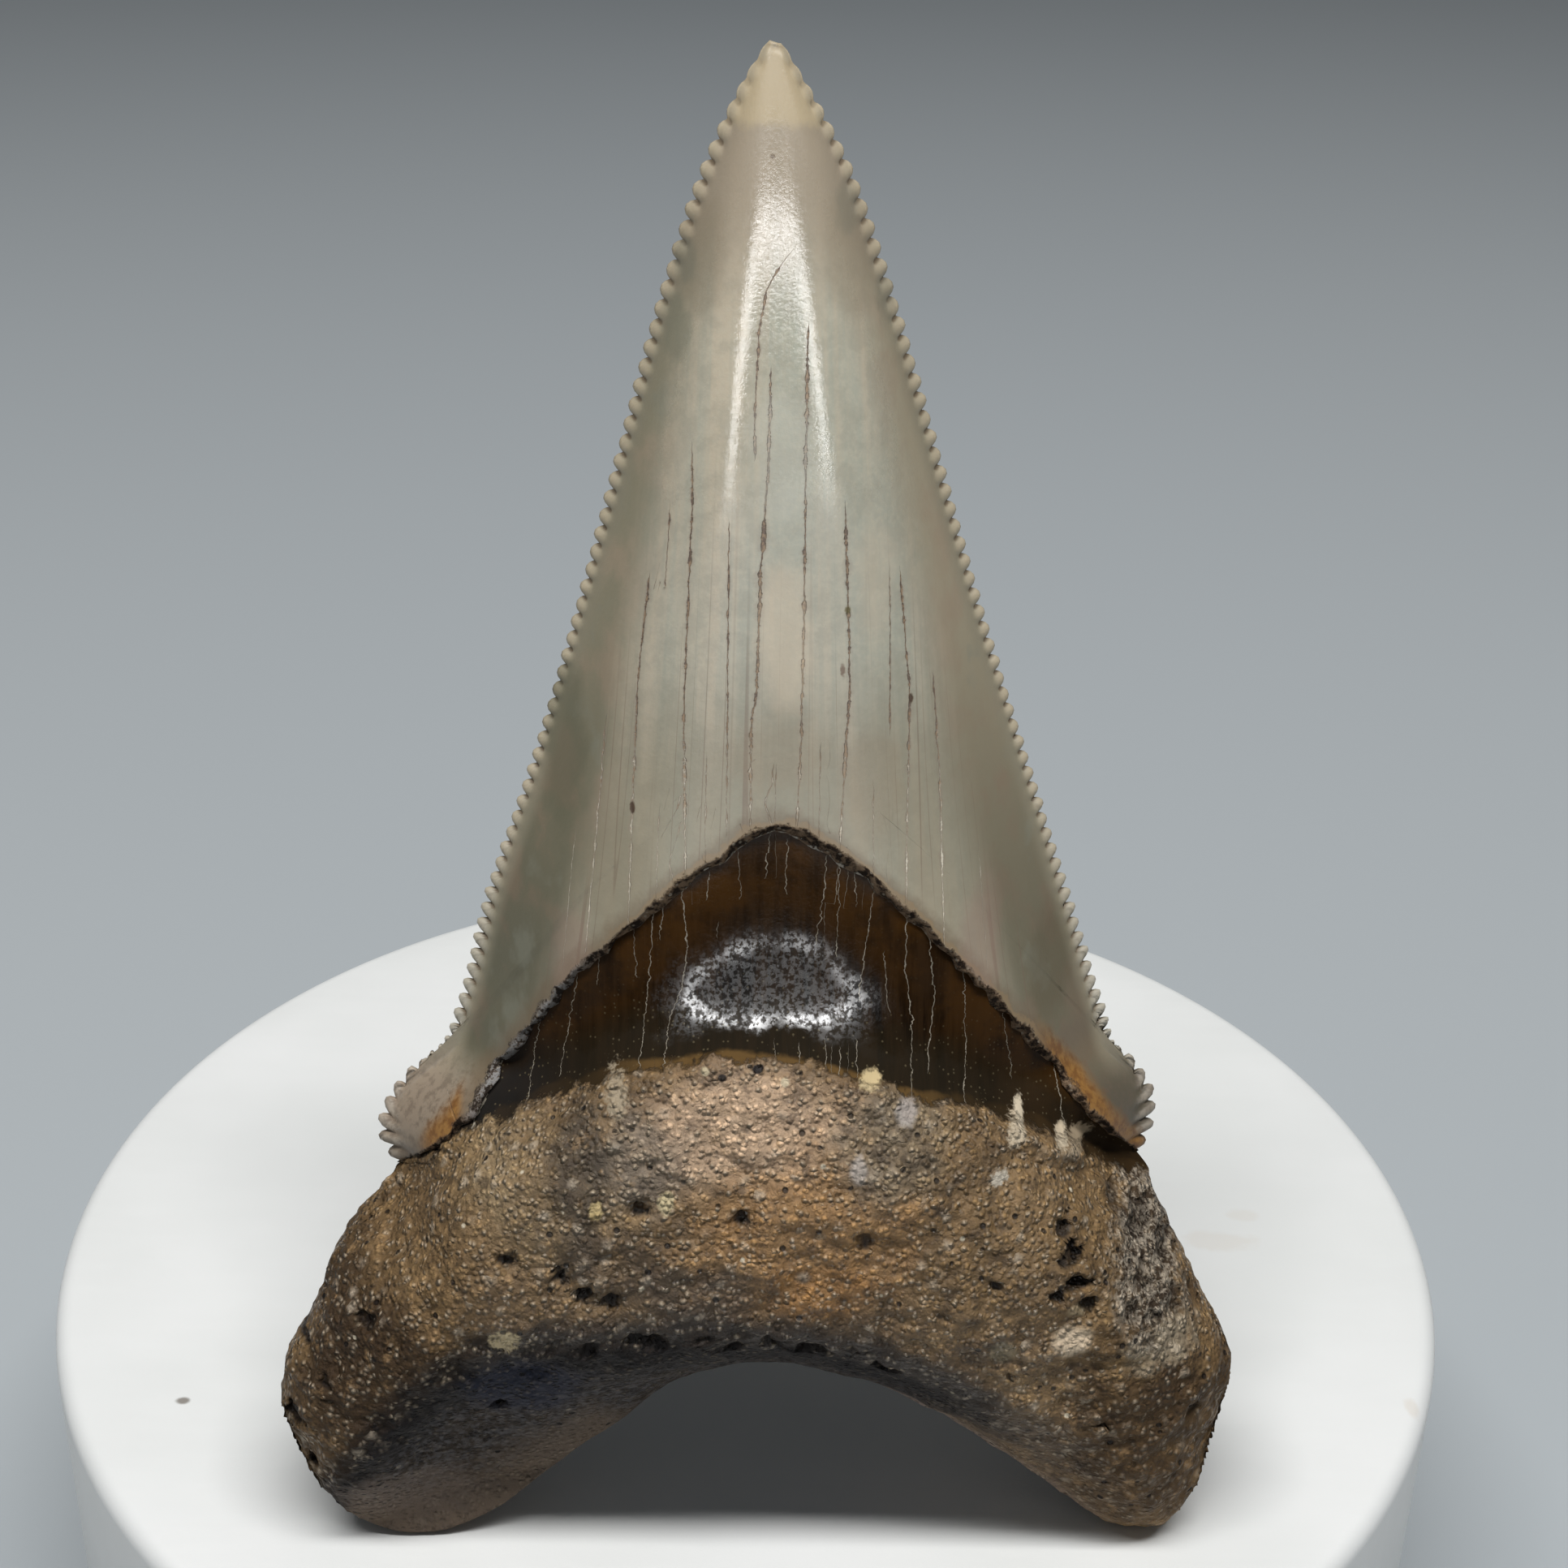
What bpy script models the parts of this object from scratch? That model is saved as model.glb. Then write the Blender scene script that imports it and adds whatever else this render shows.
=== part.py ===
"""A fossil shark tooth standing on a round display block.

Metres, +Z up. The origin is the centre of the block's flat underside.
The tooth is described in its own frame, in millimetres: x runs across the tooth,
z runs from the foot of the root to the tip, and y is depth, with the rounded
inner face towards -y and the flatter outer face towards +y. The cutting edges
of the crown lie in the plane y = 0.
"""
import math

import bpy
import bmesh
import numpy as np
from mathutils import Matrix, Vector, noise

MM = 0.001

# ---------------------------------------------------------------- driving dimensions, mm
STAND_RADIUS = 35.0
STAND_HEIGHT = 24.0
STAND_EDGE_ROUND = 0.9
STAND_SIDES = 96
STAND_EDGE_STEPS = 3

REST_GAP = 0.3
TOOTH_LEAN_DEG = 12.0
TOOTH_TURN_DEG = 2.33
TOOTH_FOOT_X = 1.38
TOOTH_FOOT_Y = -18.3

TOOTH_TRIANGLES = 7600

# Serrations: how far they reach, how far they stand off the face, how far in they run
CUSPLET_SERRATIONS = 6
LOW_SERRATIONS = (0.62, 0.66, 0.7, 0.76, 0.84, 0.92)
UPPER_SERRATIONS = 53
CUSPLET_PITCH = 1.05
SERRATION_REACH = 0.34
SERRATION_RELIEF = 0.17
SERRATION_RUN = 1.1
SERRATION_PULL = 0.88
SERRATION_TILT = 0.35
WORN_TIP = 5.0
WORN_REACH = 0.35

# Crown section, (flatness, edge power), and the wedge that keeps its edges apart
FRONT_LENS = (3.3, 1.35)
BACK_LENS = (2.0, 0.9)
EDGE_WEDGE = 0.35

# Band under the enamel: the ledge above it and the hollow across its height
ENAMEL_LEDGE = 0.4
LEDGE_RAMP = 0.45
LEDGE_FULL_DEPTH = 2.0
BAND_HOLLOW = 0.58
BAND_HOLLOW_SKEW = 1.8
HOLLOW_SPREAD = 0.018

# Root: its round rim, its thinner lobes and the face that falls back below the fold
ROOT_ROUND = 4.2
ROOT_RISE = 1.8
LOBE_THINNING = 0.22
LOBE_REACH = 20.0
BASAL_SLOPE = 0.4
FOLD_ROUND = 0.8

# Uneven bone: two sizes of lump, held back where the tooth is thin
LUMP_HEIGHT = 0.38
LUMP_SIZE = 3.6
SMALL_LUMPS = (2.3, 0.45)
LUMP_PLANE = 9.0
ROUGH_FULL_DEPTH = 1.5
ROUGH_FADE = (-0.2, 0.8)

# Rows and columns of the sheets
SHEET_COLUMNS = 73
ROOT_ROWS = 44
ROOT_ROW_EASE = 1.3
BAND_ROWS = 12
ROWS_PER_SERRATION = 6
EVEN_COLUMNS = 0.35
FOOT_STEPS = 120
SIDE_STEPS = 40
WELD_GAP = 0.004

# Outlines: x at each height z, from the foot of the cusplet to the tip
CROWN_LEFT = [
    (15.1, -16.2), (16.6, -16.9), (17.9, -16.6), (19.2, -15.5), (20.1, -14.3),
    (22.1, -13.5), (27.2, -12.15), (32.6, -10.3), (39.4, -8.3), (46.0, -6.5),
    (52.5, -4.7), (57.1, -3.1), (60.1, -1.7), (61.6, -0.75),
]
CROWN_RIGHT = [
    (15.5, 15.8), (16.6, 16.2), (17.9, 16.35), (19.2, 15.7), (20.2, 14.6),
    (22.1, 13.95), (27.2, 12.3), (32.6, 10.5), (39.5, 8.2), (46.1, 6.15),
    (52.5, 4.1), (57.2, 2.3), (60.2, 0.6), (61.5, -0.25),
]
# Front enamel line, (x, z): a tall chevron whose legs end at the feet of the cusplets
CHEVRON_FRONT = [(-16.2, 15.1), (-13.4, 18.3), (-11.2, 21.4), (-8.6, 25.1), (-5.8, 27.9), (-3.1, 30.2),
                 (-0.5, 31.8), (2.4, 30.6), (4.8, 28.6), (7.9, 25.4), (10.8, 21.9), (14.3, 17.4),
                 (15.8, 15.5)]
# Front root line, (x, z): the rim of the root under the bourlette
ROOT_LINE_FRONT = [(-16.5, 14.7), (-12.2, 17.9), (-9.0, 20.0), (-6.6, 21.3), (-3.6, 22.1), (-0.7, 22.5),
                   (2.9, 21.8), (6.3, 20.1), (9.8, 18.1), (12.7, 16.4), (16.2, 15.0)]
# Back enamel line and root line, (x, z): one shallow arch, no bourlette
CHEVRON_BACK = [(-16.2, 15.1), (-11.0, 18.6), (-5.5, 21.0), (0.0, 22.0), (5.5, 21.0), (11.0, 18.6),
                (15.8, 15.5)]
ROOT_LINE_BACK = [(-16.5, 14.7), (-11.0, 17.9), (-5.5, 20.3), (0.0, 21.3), (5.5, 20.3), (11.0, 17.9),
                  (16.2, 15.0)]
# Sides of the root, (z, x), and its lower edge, (x, z), from lobe to lobe over the arch
ROOT_LEFT = [(4.0, -20.7), (5.6, -21.3), (7.2, -21.0), (9.4, -19.8), (12.0, -18.75), (14.7, -16.5)]
ROOT_RIGHT = [(4.0, 19.1), (5.6, 19.65), (7.2, 19.9), (9.4, 18.85), (12.0, 17.45), (15.0, 16.2)]
ROOT_FOOT = [(-20.7, 4.0), (-19.4, 1.3), (-17.6, -0.3), (-15.2, -0.8), (-12.5, 0.1), (-9.8, 2.0),
             (-6.9, 4.2), (-4.0, 6.3), (-0.4, 7.3), (3.2, 6.5), (6.5, 5.1), (10.0, 2.8), (13.0, 0.7),
             (15.1, -0.6), (17.2, -0.4), (18.5, 1.3), (19.1, 4.0)]

# Fold across the front of the root, (x, z), where its basal face begins
FOLD = [(-20.5, -0.6), (-19.0, 2.2), (-17.0, 5.2), (-13.6, 8.9), (-9.0, 10.7), (-4.6, 11.2), (2.0, 10.6),
        (6.5, 8.6), (11.7, 5.2), (15.5, 2.0), (18.5, 0.0)]

# Depth of the faces along the tooth's middle, (z, mm)
FRONT_DEPTH = [(0.0, 7.2), (7.0, 8.2), (12.0, 9.1), (16.0, 9.2), (19.0, 8.9), (22.0, 8.3),
               (25.0, 7.6), (28.0, 6.95), (31.0, 6.35), (33.5, 5.95), (38.0, 5.55), (45.0, 4.9),
               (47.0, 4.55), (49.0, 4.1), (52.0, 3.32), (55.8, 2.22), (58.0, 1.5), (60.5, 0.65),
               (61.4, 0.35)]
BACK_DEPTH = [(0.0, 0.8), (7.0, 2.0), (14.0, 3.3), (20.0, 2.9), (26.0, 2.5), (34.0, 2.1), (45.0, 1.6),
              (54.0, 1.1), (60.0, 0.6), (61.4, 0.35)]
# Depth of the root's outline behind or before the cutting edges' plane
EDGE_PLANE_Y = [(-1.0, -3.5), (4.0, -3.1), (9.0, -1.9), (14.5, -0.5), (18.0, 0.0), (62.0, 0.0)]

# Pits in the front of the root: (x, z, radius, depth)
ROOT_PITS = [
    (15.4, 11.3, 1.1, 0.75), (17.0, 9.3, 0.9, 0.7), (12.0, 9.6, 0.8, 0.8), (11.7, 7.7, 0.7, 0.7),
    (14.2, 9.0, 0.7, 0.5), (-3.2, 8.9, 0.7, 0.6), (1.2, 8.6, 0.8, 0.6), (4.6, 8.3, 0.7, 0.6),
    (-6.5, 8.2, 0.7, 0.5), (-8.8, 9.6, 0.6, 0.5), (-1.6, 14.4, 0.7, 0.5), (3.3, 13.0, 0.6, 0.45),
    (-5.6, 14.9, 0.8, 0.4), (-13.6, 15.5, 0.6, 0.6), (-17.0, 8.6, 0.8, 0.4), (-18.6, 5.6, 0.6, 0.4),
    (-10.8, 12.4, 0.7, 0.4), (8.5, 12.2, 0.6, 0.45), (17.5, 3.9, 0.7, 0.4), (15.0, 5.4, 0.6, 0.4),
]

ENAMEL_COLOUR = (0.42, 0.39, 0.33, 1.0)
STAND_COLOUR = (0.86, 0.86, 0.84, 1.0)


# ---------------------------------------------------------------- curves

def spline(points, at):
    """Smooth curve through points (u, value), read at each u in `at`."""
    u = np.array([p[0] for p in points], dtype=float)
    v = np.array([p[1] for p in points], dtype=float)
    slope = np.gradient(v, u)
    at = np.clip(np.asarray(at, dtype=float), u[0], u[-1])
    i = np.clip(np.searchsorted(u, at, side="right") - 1, 0, len(u) - 2)
    span = u[i + 1] - u[i]
    f = (at - u[i]) / span
    rise = f * f * (3.0 - 2.0 * f)
    return (v[i] * (1.0 - rise) + v[i + 1] * rise
            + span * (slope[i] * f * (1.0 - f) ** 2 - slope[i + 1] * f * f * (1.0 - f)))


def path(points, at):
    """Smooth plane path through points, read at fractions `at` of its length."""
    pts = np.array(points, dtype=float)
    steps = np.hypot(*np.diff(pts, axis=0).T)
    length = np.concatenate([[0.0], np.cumsum(steps)])
    where = np.asarray(at) * length[-1]
    x = spline(list(zip(length, pts[:, 0])), where)
    z = spline(list(zip(length, pts[:, 1])), where)
    return np.stack([x, z], axis=-1)


def smoothstep(low, high, value):
    f = np.clip((value - low) / (high - low), 0.0, 1.0)
    return f * f * (3.0 - 2.0 * f)


def coons(bottom, top, left, right):
    """Grid of plane points, rows by columns, filled in between four edge curves."""
    t = np.linspace(0.0, 1.0, len(left))[:, None, None]
    s = np.linspace(0.0, 1.0, len(bottom))[None, :, None]
    ruled_up = (1.0 - t) * bottom[None] + t * top[None]
    ruled_across = (1.0 - s) * left[:, None] + s * right[:, None]
    corners = ((1.0 - s) * (1.0 - t) * bottom[0] + s * (1.0 - t) * bottom[-1]
               + (1.0 - s) * t * top[0] + s * t * top[-1])
    return ruled_up + ruled_across - corners


# ---------------------------------------------------------------- outlines in the tooth's plane

def side_path(points, rows):
    """Edge curve given as (z, x) points, read at fractions of its length, as (x, z)."""
    return path([(x, z) for z, x in points], rows)


def outline_patches(columns, rows_root, rows_band, rows_crown, root_line, chevron):
    """Three grids of plane points: root, band under the enamel, and enamel crown."""
    left_tip = (CROWN_LEFT[-1][1], CROWN_LEFT[-1][0])
    right_tip = (CROWN_RIGHT[-1][1], CROWN_RIGHT[-1][0])

    foot = path(ROOT_FOOT, columns)
    shoulder = path(root_line, columns)
    enamel = path(chevron, columns)
    tip = path([left_tip, right_tip], columns)
    root = coons(foot, shoulder, side_path(ROOT_LEFT, rows_root), side_path(ROOT_RIGHT, rows_root))
    band = coons(shoulder, enamel, path([root_line[0], chevron[0]], rows_band),
                 path([root_line[-1], chevron[-1]], rows_band))
    crown = coons(enamel, tip, side_path(CROWN_LEFT, rows_crown), side_path(CROWN_RIGHT, rows_crown))
    return root, band, crown


def edge_distance(x, z):
    """Distance in the plane from each point to the outline of the root."""
    corners = np.concatenate([
        path(ROOT_FOOT, np.linspace(0.0, 1.0, FOOT_STEPS)),
        side_path(ROOT_LEFT, np.linspace(0.0, 1.0, SIDE_STEPS)),
        side_path(ROOT_RIGHT, np.linspace(0.0, 1.0, SIDE_STEPS)),
    ])
    gap = np.full(x.shape, 1e9)
    for cx, cz in corners:
        gap = np.minimum(gap, np.hypot(x - cx, z - cz))
    return gap


# ---------------------------------------------------------------- depth of the two faces

def crown_half_width(z):
    left = spline(CROWN_LEFT, z)
    right = spline(CROWN_RIGHT, z)
    return (left + right) / 2.0, (right - left) / 2.0


def crown_depth(x, z, depth, lens):
    """Lens section of the crown: full depth in the middle, nothing at the cutting edges."""
    middle, half = crown_half_width(z)
    across = np.clip(np.abs(x - middle) / half, 0.0, 1.0)
    flatness, edge_power = lens
    return spline(depth, z) * (1.0 - across ** flatness) ** edge_power


def basal_fall(x, z):
    """How far the basal face has fallen back at each point below the fold."""
    below = (spline(FOLD, x) - z) / FOLD_ROUND
    return BASAL_SLOPE * FOLD_ROUND * np.logaddexp(0.0, below)


def band_hollow(x, z, root_line, chevron):
    """Hollow of the band between the root line and the enamel, deepest in its lower half."""
    low = spline(root_line, x)
    height = spline(chevron, x) - low
    f = np.clip((z - low) / height, 0.0, 1.0)
    spread = 1.0 + HOLLOW_SPREAD * x * x
    return BAND_HOLLOW * spread * height * f * (1.0 - f) ** BAND_HOLLOW_SKEW


def root_depth(x, z, depth, inwards):
    """Root section: thick, a little thinner towards the lobes, round at its outline."""
    full = spline(depth, z) * (1.0 - LOBE_THINNING * (x / LOBE_REACH) ** 2)
    full += inwards * spline(EDGE_PLANE_Y, z)
    if inwards > 0.0:
        full = np.clip(full - basal_fall(x, z), 0.0, None)
    near = np.clip(edge_distance(x, z) / ROOT_ROUND, 0.0, 1.0)
    return full * np.sqrt(1.0 - (1.0 - near) ** 2)


def face_depth(x, z, depth, root_line, lens, inwards):
    """Depth of one face from the outline's sheet: crown above the root line, root below it."""
    blade = crown_depth(x, z, depth, lens)
    thick = root_depth(x, z, depth, inwards)
    below = np.clip(spline(root_line, x) - z, 0.0, None)
    share = 1.0 - np.exp(-below / ROOT_RISE)
    return blade * (1.0 - share) + thick * share


def lumps(x, z, side):
    """Uneven bone of the root: two sizes of lump."""
    times, share = SMALL_LUMPS
    out = np.zeros(x.shape)
    for index in np.ndindex(x.shape):
        spot = Vector((x[index], side * LUMP_PLANE, z[index]))
        out[index] = noise.noise(spot / LUMP_SIZE) + share * noise.noise(spot * times / LUMP_SIZE)
    return LUMP_HEIGHT * out


def pits(x, z):
    """Round pits in the front of the root."""
    out = np.zeros(x.shape)
    for px, pz, radius, depth in ROOT_PITS:
        out -= depth * np.exp(-((x - px) ** 2 + (z - pz) ** 2) / (0.5 * radius ** 2))
    return out


# ---------------------------------------------------------------- serrations

def serration_stations(steps):
    """Rows of the crown as fractions of its edge, with `steps` rows to each serration."""
    pitches = [CUSPLET_PITCH] * CUSPLET_SERRATIONS + list(LOW_SERRATIONS) + [1.0] * UPPER_SERRATIONS
    ends = np.concatenate([[0.0], np.cumsum(pitches)])
    phase = np.linspace(0.0, len(pitches), len(pitches) * steps + 1)
    rows = np.interp(phase, np.arange(len(ends)), ends) / ends[-1]
    return rows, phase


def serrate(grid, phase):
    """Push the crown's outline out in rounded serrations; gives the grid and their relief."""
    relief = np.zeros(grid.shape[:2])
    moved = grid.copy()
    for side, edge in ((-1.0, 0), (1.0, -1)):
        line = grid[:, edge]
        along = np.gradient(line, axis=0)
        along /= np.linalg.norm(along, axis=1, keepdims=True)
        outward = np.stack([along[:, 1] * side, -along[:, 0] * side], axis=1)
        gap = np.linalg.norm(grid - line[:, None], axis=2)
        lean = SERRATION_TILT * gap / SERRATION_RUN
        knob = np.sqrt(1.0 - (2.0 * ((phase[:, None] + lean) % 1.0) - 1.0) ** 2)
        close = 1.0 - smoothstep(0.0, SERRATION_PULL, gap)
        sharp = smoothstep(0.0, WORN_TIP, grid[-1, edge, 1] - line[:, 1])[:, None]
        reach = SERRATION_REACH * (WORN_REACH + (1.0 - WORN_REACH) * sharp)
        moved += outward[:, None] * (reach * (knob[:, :1] - 0.5) * close)[..., None]
        run = smoothstep(0.0, 0.25 * SERRATION_RUN, gap)
        run *= 1.0 - smoothstep(0.5 * SERRATION_RUN, SERRATION_RUN, gap)
        relief += SERRATION_RELIEF * (2.0 * knob - 1.0) * run
    return moved, relief


# ---------------------------------------------------------------- building the meshes

def side_fractions(count):
    """Column positions, closer together towards both edges."""
    even = np.linspace(0.0, 1.0, count)
    eased = 0.5 - 0.5 * np.cos(np.pi * even)
    return EVEN_COLUMNS * even + (1.0 - EVEN_COLUMNS) * eased


def tooth_sheet(front):
    """One face of the tooth as a grid of points, rows from the foot to the tip."""
    columns = side_fractions(SHEET_COLUMNS)
    rows_root = np.linspace(0.0, 1.0, ROOT_ROWS) ** ROOT_ROW_EASE
    rows_band = np.linspace(0.0, 1.0, BAND_ROWS)
    rows_crown, phase = serration_stations(ROWS_PER_SERRATION)
    root_line, chevron = (ROOT_LINE_FRONT, CHEVRON_FRONT) if front else (ROOT_LINE_BACK, CHEVRON_BACK)
    root, band, crown = outline_patches(columns, rows_root, rows_band, rows_crown, root_line, chevron)
    crown, relief = serrate(crown, phase)
    plane = np.concatenate([root, band[1:-1], crown])
    x, z = plane[..., 0], plane[..., 1]

    depth = FRONT_DEPTH if front else BACK_DEPTH
    lens = FRONT_LENS if front else BACK_LENS
    towards = -1.0 if front else 1.0
    out = face_depth(x, z, depth, root_line, lens, -towards)
    skin = np.minimum(1.0, out / ROUGH_FULL_DEPTH)
    below = spline(root_line, x) - z
    rough = lumps(x, z, towards) + (pits(x, z) if front else 0.0)
    out += rough * skin * smoothstep(*ROUGH_FADE, below)
    in_band = smoothstep(0.0, LEDGE_RAMP, spline(chevron, x) - z) * smoothstep(2.0 * LEDGE_RAMP, 0.0, below)
    sunk = ENAMEL_LEDGE * in_band
    if front:
        sunk += band_hollow(x, z, root_line, chevron)
    out -= sunk * np.minimum(1.0, out / LEDGE_FULL_DEPTH)
    out[-len(crown):] += relief
    inside = np.minimum(np.abs(x - x[:, :1]), np.abs(x - x[:, -1:]))
    out = np.maximum(out, np.minimum(EDGE_WEDGE * inside, EDGE_WEDGE))
    for rim in (out[0], out[-1], out[:, 0], out[:, -1]):
        rim[:] = 0.0
    y = spline(EDGE_PLANE_Y, z) + towards * out
    return np.stack([x, y, z], axis=-1)


def add_sheet(bm, points, flip):
    """Add a grid of points to the mesh as quads facing out of the tooth."""
    rows, columns = points.shape[:2]
    verts = [[bm.verts.new(points[r, c]) for c in range(columns)] for r in range(rows)]
    for r in range(rows - 1):
        for c in range(columns - 1):
            ring = [verts[r][c], verts[r][c + 1], verts[r + 1][c + 1], verts[r + 1][c]]
            if flip:
                ring.reverse()
            bm.faces.new(ring)


def new_object(name, mesh, material, collection):
    obj = bpy.data.objects.new(name, mesh)
    obj.data.materials.append(material)
    collection.objects.link(obj)
    return obj


def make_material(name, colour, roughness):
    material = bpy.data.materials.new(name)
    material.use_nodes = True
    shader = material.node_tree.nodes["Principled BSDF"]
    shader.inputs["Base Color"].default_value = colour
    shader.inputs["Roughness"].default_value = roughness
    shader.inputs["Metallic"].default_value = 0.0
    return material


def make_tooth(collection):
    """The whole tooth: two faces meeting along the outline, in one closed skin."""
    bm = bmesh.new()
    add_sheet(bm, tooth_sheet(front=True), flip=False)
    add_sheet(bm, tooth_sheet(front=False), flip=True)
    bmesh.ops.remove_doubles(bm, verts=bm.verts, dist=WELD_GAP)
    stand_up = (Matrix.Translation((TOOTH_FOOT_X, TOOTH_FOOT_Y, 0.0))
                @ Matrix.Rotation(math.radians(TOOTH_TURN_DEG), 4, "Z")
                @ Matrix.Rotation(math.radians(-TOOTH_LEAN_DEG), 4, "X"))
    bmesh.ops.transform(bm, matrix=stand_up, verts=bm.verts)
    lowest = min(v.co.z for v in bm.verts)
    lift = STAND_HEIGHT + REST_GAP - lowest
    bmesh.ops.translate(bm, vec=(0.0, 0.0, lift), verts=bm.verts)
    bmesh.ops.scale(bm, vec=(MM, MM, MM), verts=bm.verts)
    bmesh.ops.triangulate(bm, faces=bm.faces)
    mesh = bpy.data.meshes.new("tooth")
    bm.to_mesh(mesh)
    bm.free()
    tooth = new_object("tooth", mesh, make_material("tooth", ENAMEL_COLOUR, 0.35), collection)
    thin = tooth.modifiers.new("thin", "DECIMATE")
    thin.ratio = TOOTH_TRIANGLES / len(mesh.polygons)
    return tooth


def make_stand(collection):
    """Round block, its rims softened; it stops at a plain flat underside."""
    bm = bmesh.new()
    bmesh.ops.create_cone(bm, cap_ends=True, segments=STAND_SIDES, radius1=STAND_RADIUS * MM,
                          radius2=STAND_RADIUS * MM, depth=STAND_HEIGHT * MM)
    bmesh.ops.translate(bm, vec=(0.0, 0.0, STAND_HEIGHT * MM / 2.0), verts=bm.verts)
    mesh = bpy.data.meshes.new("stand")
    bm.to_mesh(mesh)
    bm.free()
    stand = new_object("stand", mesh, make_material("stand", STAND_COLOUR, 0.5), collection)
    rim = stand.modifiers.new("rim", "BEVEL")
    rim.width = STAND_EDGE_ROUND * MM
    rim.segments = STAND_EDGE_STEPS
    rim.limit_method = "ANGLE"
    rim.angle_limit = math.radians(60.0)
    return stand


def main():
    for obj in list(bpy.data.objects):
        bpy.data.objects.remove(obj, do_unlink=True)
    parts = bpy.data.collections.new("fossil_shark_tooth")
    bpy.context.scene.collection.children.link(parts)
    make_stand(parts)
    make_tooth(parts)


main()
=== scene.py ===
# %% [markdown]
# # A fossil shark tooth on its display block
#
# The tooth is one natural piece with three skins. The crown is glossy enamel with
# serrated cutting edges. Under its V-shaped rim lies the bourlette, a dark satin band.
# Below that is the root, rough porous bone that ends in two lobes. It stands on a plain
# round block.
#
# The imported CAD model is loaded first. Everything is built in the same place as that
# model, so nothing has to be fitted afterwards.

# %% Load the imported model
import math

import bpy
import numpy as np
from mathutils import Matrix, Vector, noise


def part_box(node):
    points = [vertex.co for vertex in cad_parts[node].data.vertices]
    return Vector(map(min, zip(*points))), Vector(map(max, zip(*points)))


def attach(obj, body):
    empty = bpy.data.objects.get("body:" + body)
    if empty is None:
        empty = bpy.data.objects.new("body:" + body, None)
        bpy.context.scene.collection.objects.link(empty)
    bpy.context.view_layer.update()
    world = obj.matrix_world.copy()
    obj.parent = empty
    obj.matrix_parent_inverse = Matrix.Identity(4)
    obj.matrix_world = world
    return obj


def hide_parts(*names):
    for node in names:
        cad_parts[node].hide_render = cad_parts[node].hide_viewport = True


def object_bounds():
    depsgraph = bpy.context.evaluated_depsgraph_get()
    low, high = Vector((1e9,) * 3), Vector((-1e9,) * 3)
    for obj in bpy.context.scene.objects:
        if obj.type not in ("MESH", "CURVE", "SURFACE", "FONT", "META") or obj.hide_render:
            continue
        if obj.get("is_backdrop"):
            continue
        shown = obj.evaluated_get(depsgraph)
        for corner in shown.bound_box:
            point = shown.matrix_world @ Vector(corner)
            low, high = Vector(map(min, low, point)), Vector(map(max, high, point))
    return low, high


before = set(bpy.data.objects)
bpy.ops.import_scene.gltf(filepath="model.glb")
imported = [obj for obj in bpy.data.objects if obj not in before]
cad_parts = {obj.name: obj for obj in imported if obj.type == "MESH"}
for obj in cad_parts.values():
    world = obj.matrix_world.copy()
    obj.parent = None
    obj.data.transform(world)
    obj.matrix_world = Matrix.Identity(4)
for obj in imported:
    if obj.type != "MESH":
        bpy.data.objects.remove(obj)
cad_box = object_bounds()
MM = 0.001
STAND_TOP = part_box("stand")[1][2]
TIP_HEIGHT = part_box("tooth")[1][2]
print("CAD box, mm:", [[round(v / MM, 1) for v in corner] for corner in cad_box])

# %% [markdown]
# ## The camera
#
# A small subject is seen from close by, so perspective is strong: the lens and the
# distance matter as much as the angle. The camera looks down at the tooth by 27 degrees
# and is rolled by a little over one degree.

# %% Camera
CAMERA_AT = Vector((0.001307, -0.098744, 0.076865)) + Vector((0.0, 0.0, STAND_TOP))
CAMERA_DOWN = math.radians(27.41)
CAMERA_ROLL = math.radians(1.22)
LENS = 54.04
SENSOR = 36.0


def camera_matrix():
    """Where the camera is and how it is turned, from its pitch and roll."""
    forward = Vector((0.0, math.cos(CAMERA_DOWN), -math.sin(CAMERA_DOWN)))
    up = Vector((0.0, math.sin(CAMERA_DOWN), math.cos(CAMERA_DOWN)))
    right = Vector((1.0, 0.0, 0.0))
    rolled_right = math.cos(CAMERA_ROLL) * right + math.sin(CAMERA_ROLL) * up
    rolled_up = -math.sin(CAMERA_ROLL) * right + math.cos(CAMERA_ROLL) * up
    matrix = Matrix((rolled_right, rolled_up, -forward)).transposed().to_4x4()
    matrix.translation = CAMERA_AT
    return matrix


def add_object(name, data):
    """A new object for this data, linked to the scene."""
    made = bpy.data.objects.new(name, data)
    bpy.context.scene.collection.objects.link(made)
    return made


camera = add_object("camera", bpy.data.cameras.new("camera"))
camera.data.lens = LENS
camera.data.sensor_width = SENSOR
camera.data.clip_start = 0.005
camera.matrix_world = camera_matrix()
bpy.context.scene.camera = camera
print("camera looks down by", round(math.degrees(CAMERA_DOWN), 2), "degrees")

# %% [markdown]
# ## Soft studio light
#
# Two kinds of light shape this subject. A long softbox stands high in front, so the
# block is bright, its shadow under the arch of the root is deep, and the underside of
# the root is left in shade. A ring of small lamps round the lens draws the highlights:
# enamel is almost a mirror, so it shows the ring as a bright outline with a calmer
# middle. The ring is kept out of the diffuse light, or it would fill the shadow. A
# single lamp in its place would give one hard dot.

# %% Lights
TOOTH_MIDDLE = Vector((0.0, -0.012, STAND_TOP + 0.036))
MAIN_ELEVATION = math.radians(76.0)
MAIN_DISTANCE = 0.60
MAIN_SIZE = (0.62, 0.085)
MAIN_WATTS = 4.15
RING_LAMPS = 22
RING_RADIUS = 0.040
RING_LAMP_SIZE = 0.0125
RING_WATTS = 0.0066
RING_LOW_SHARE = 0.3


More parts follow.
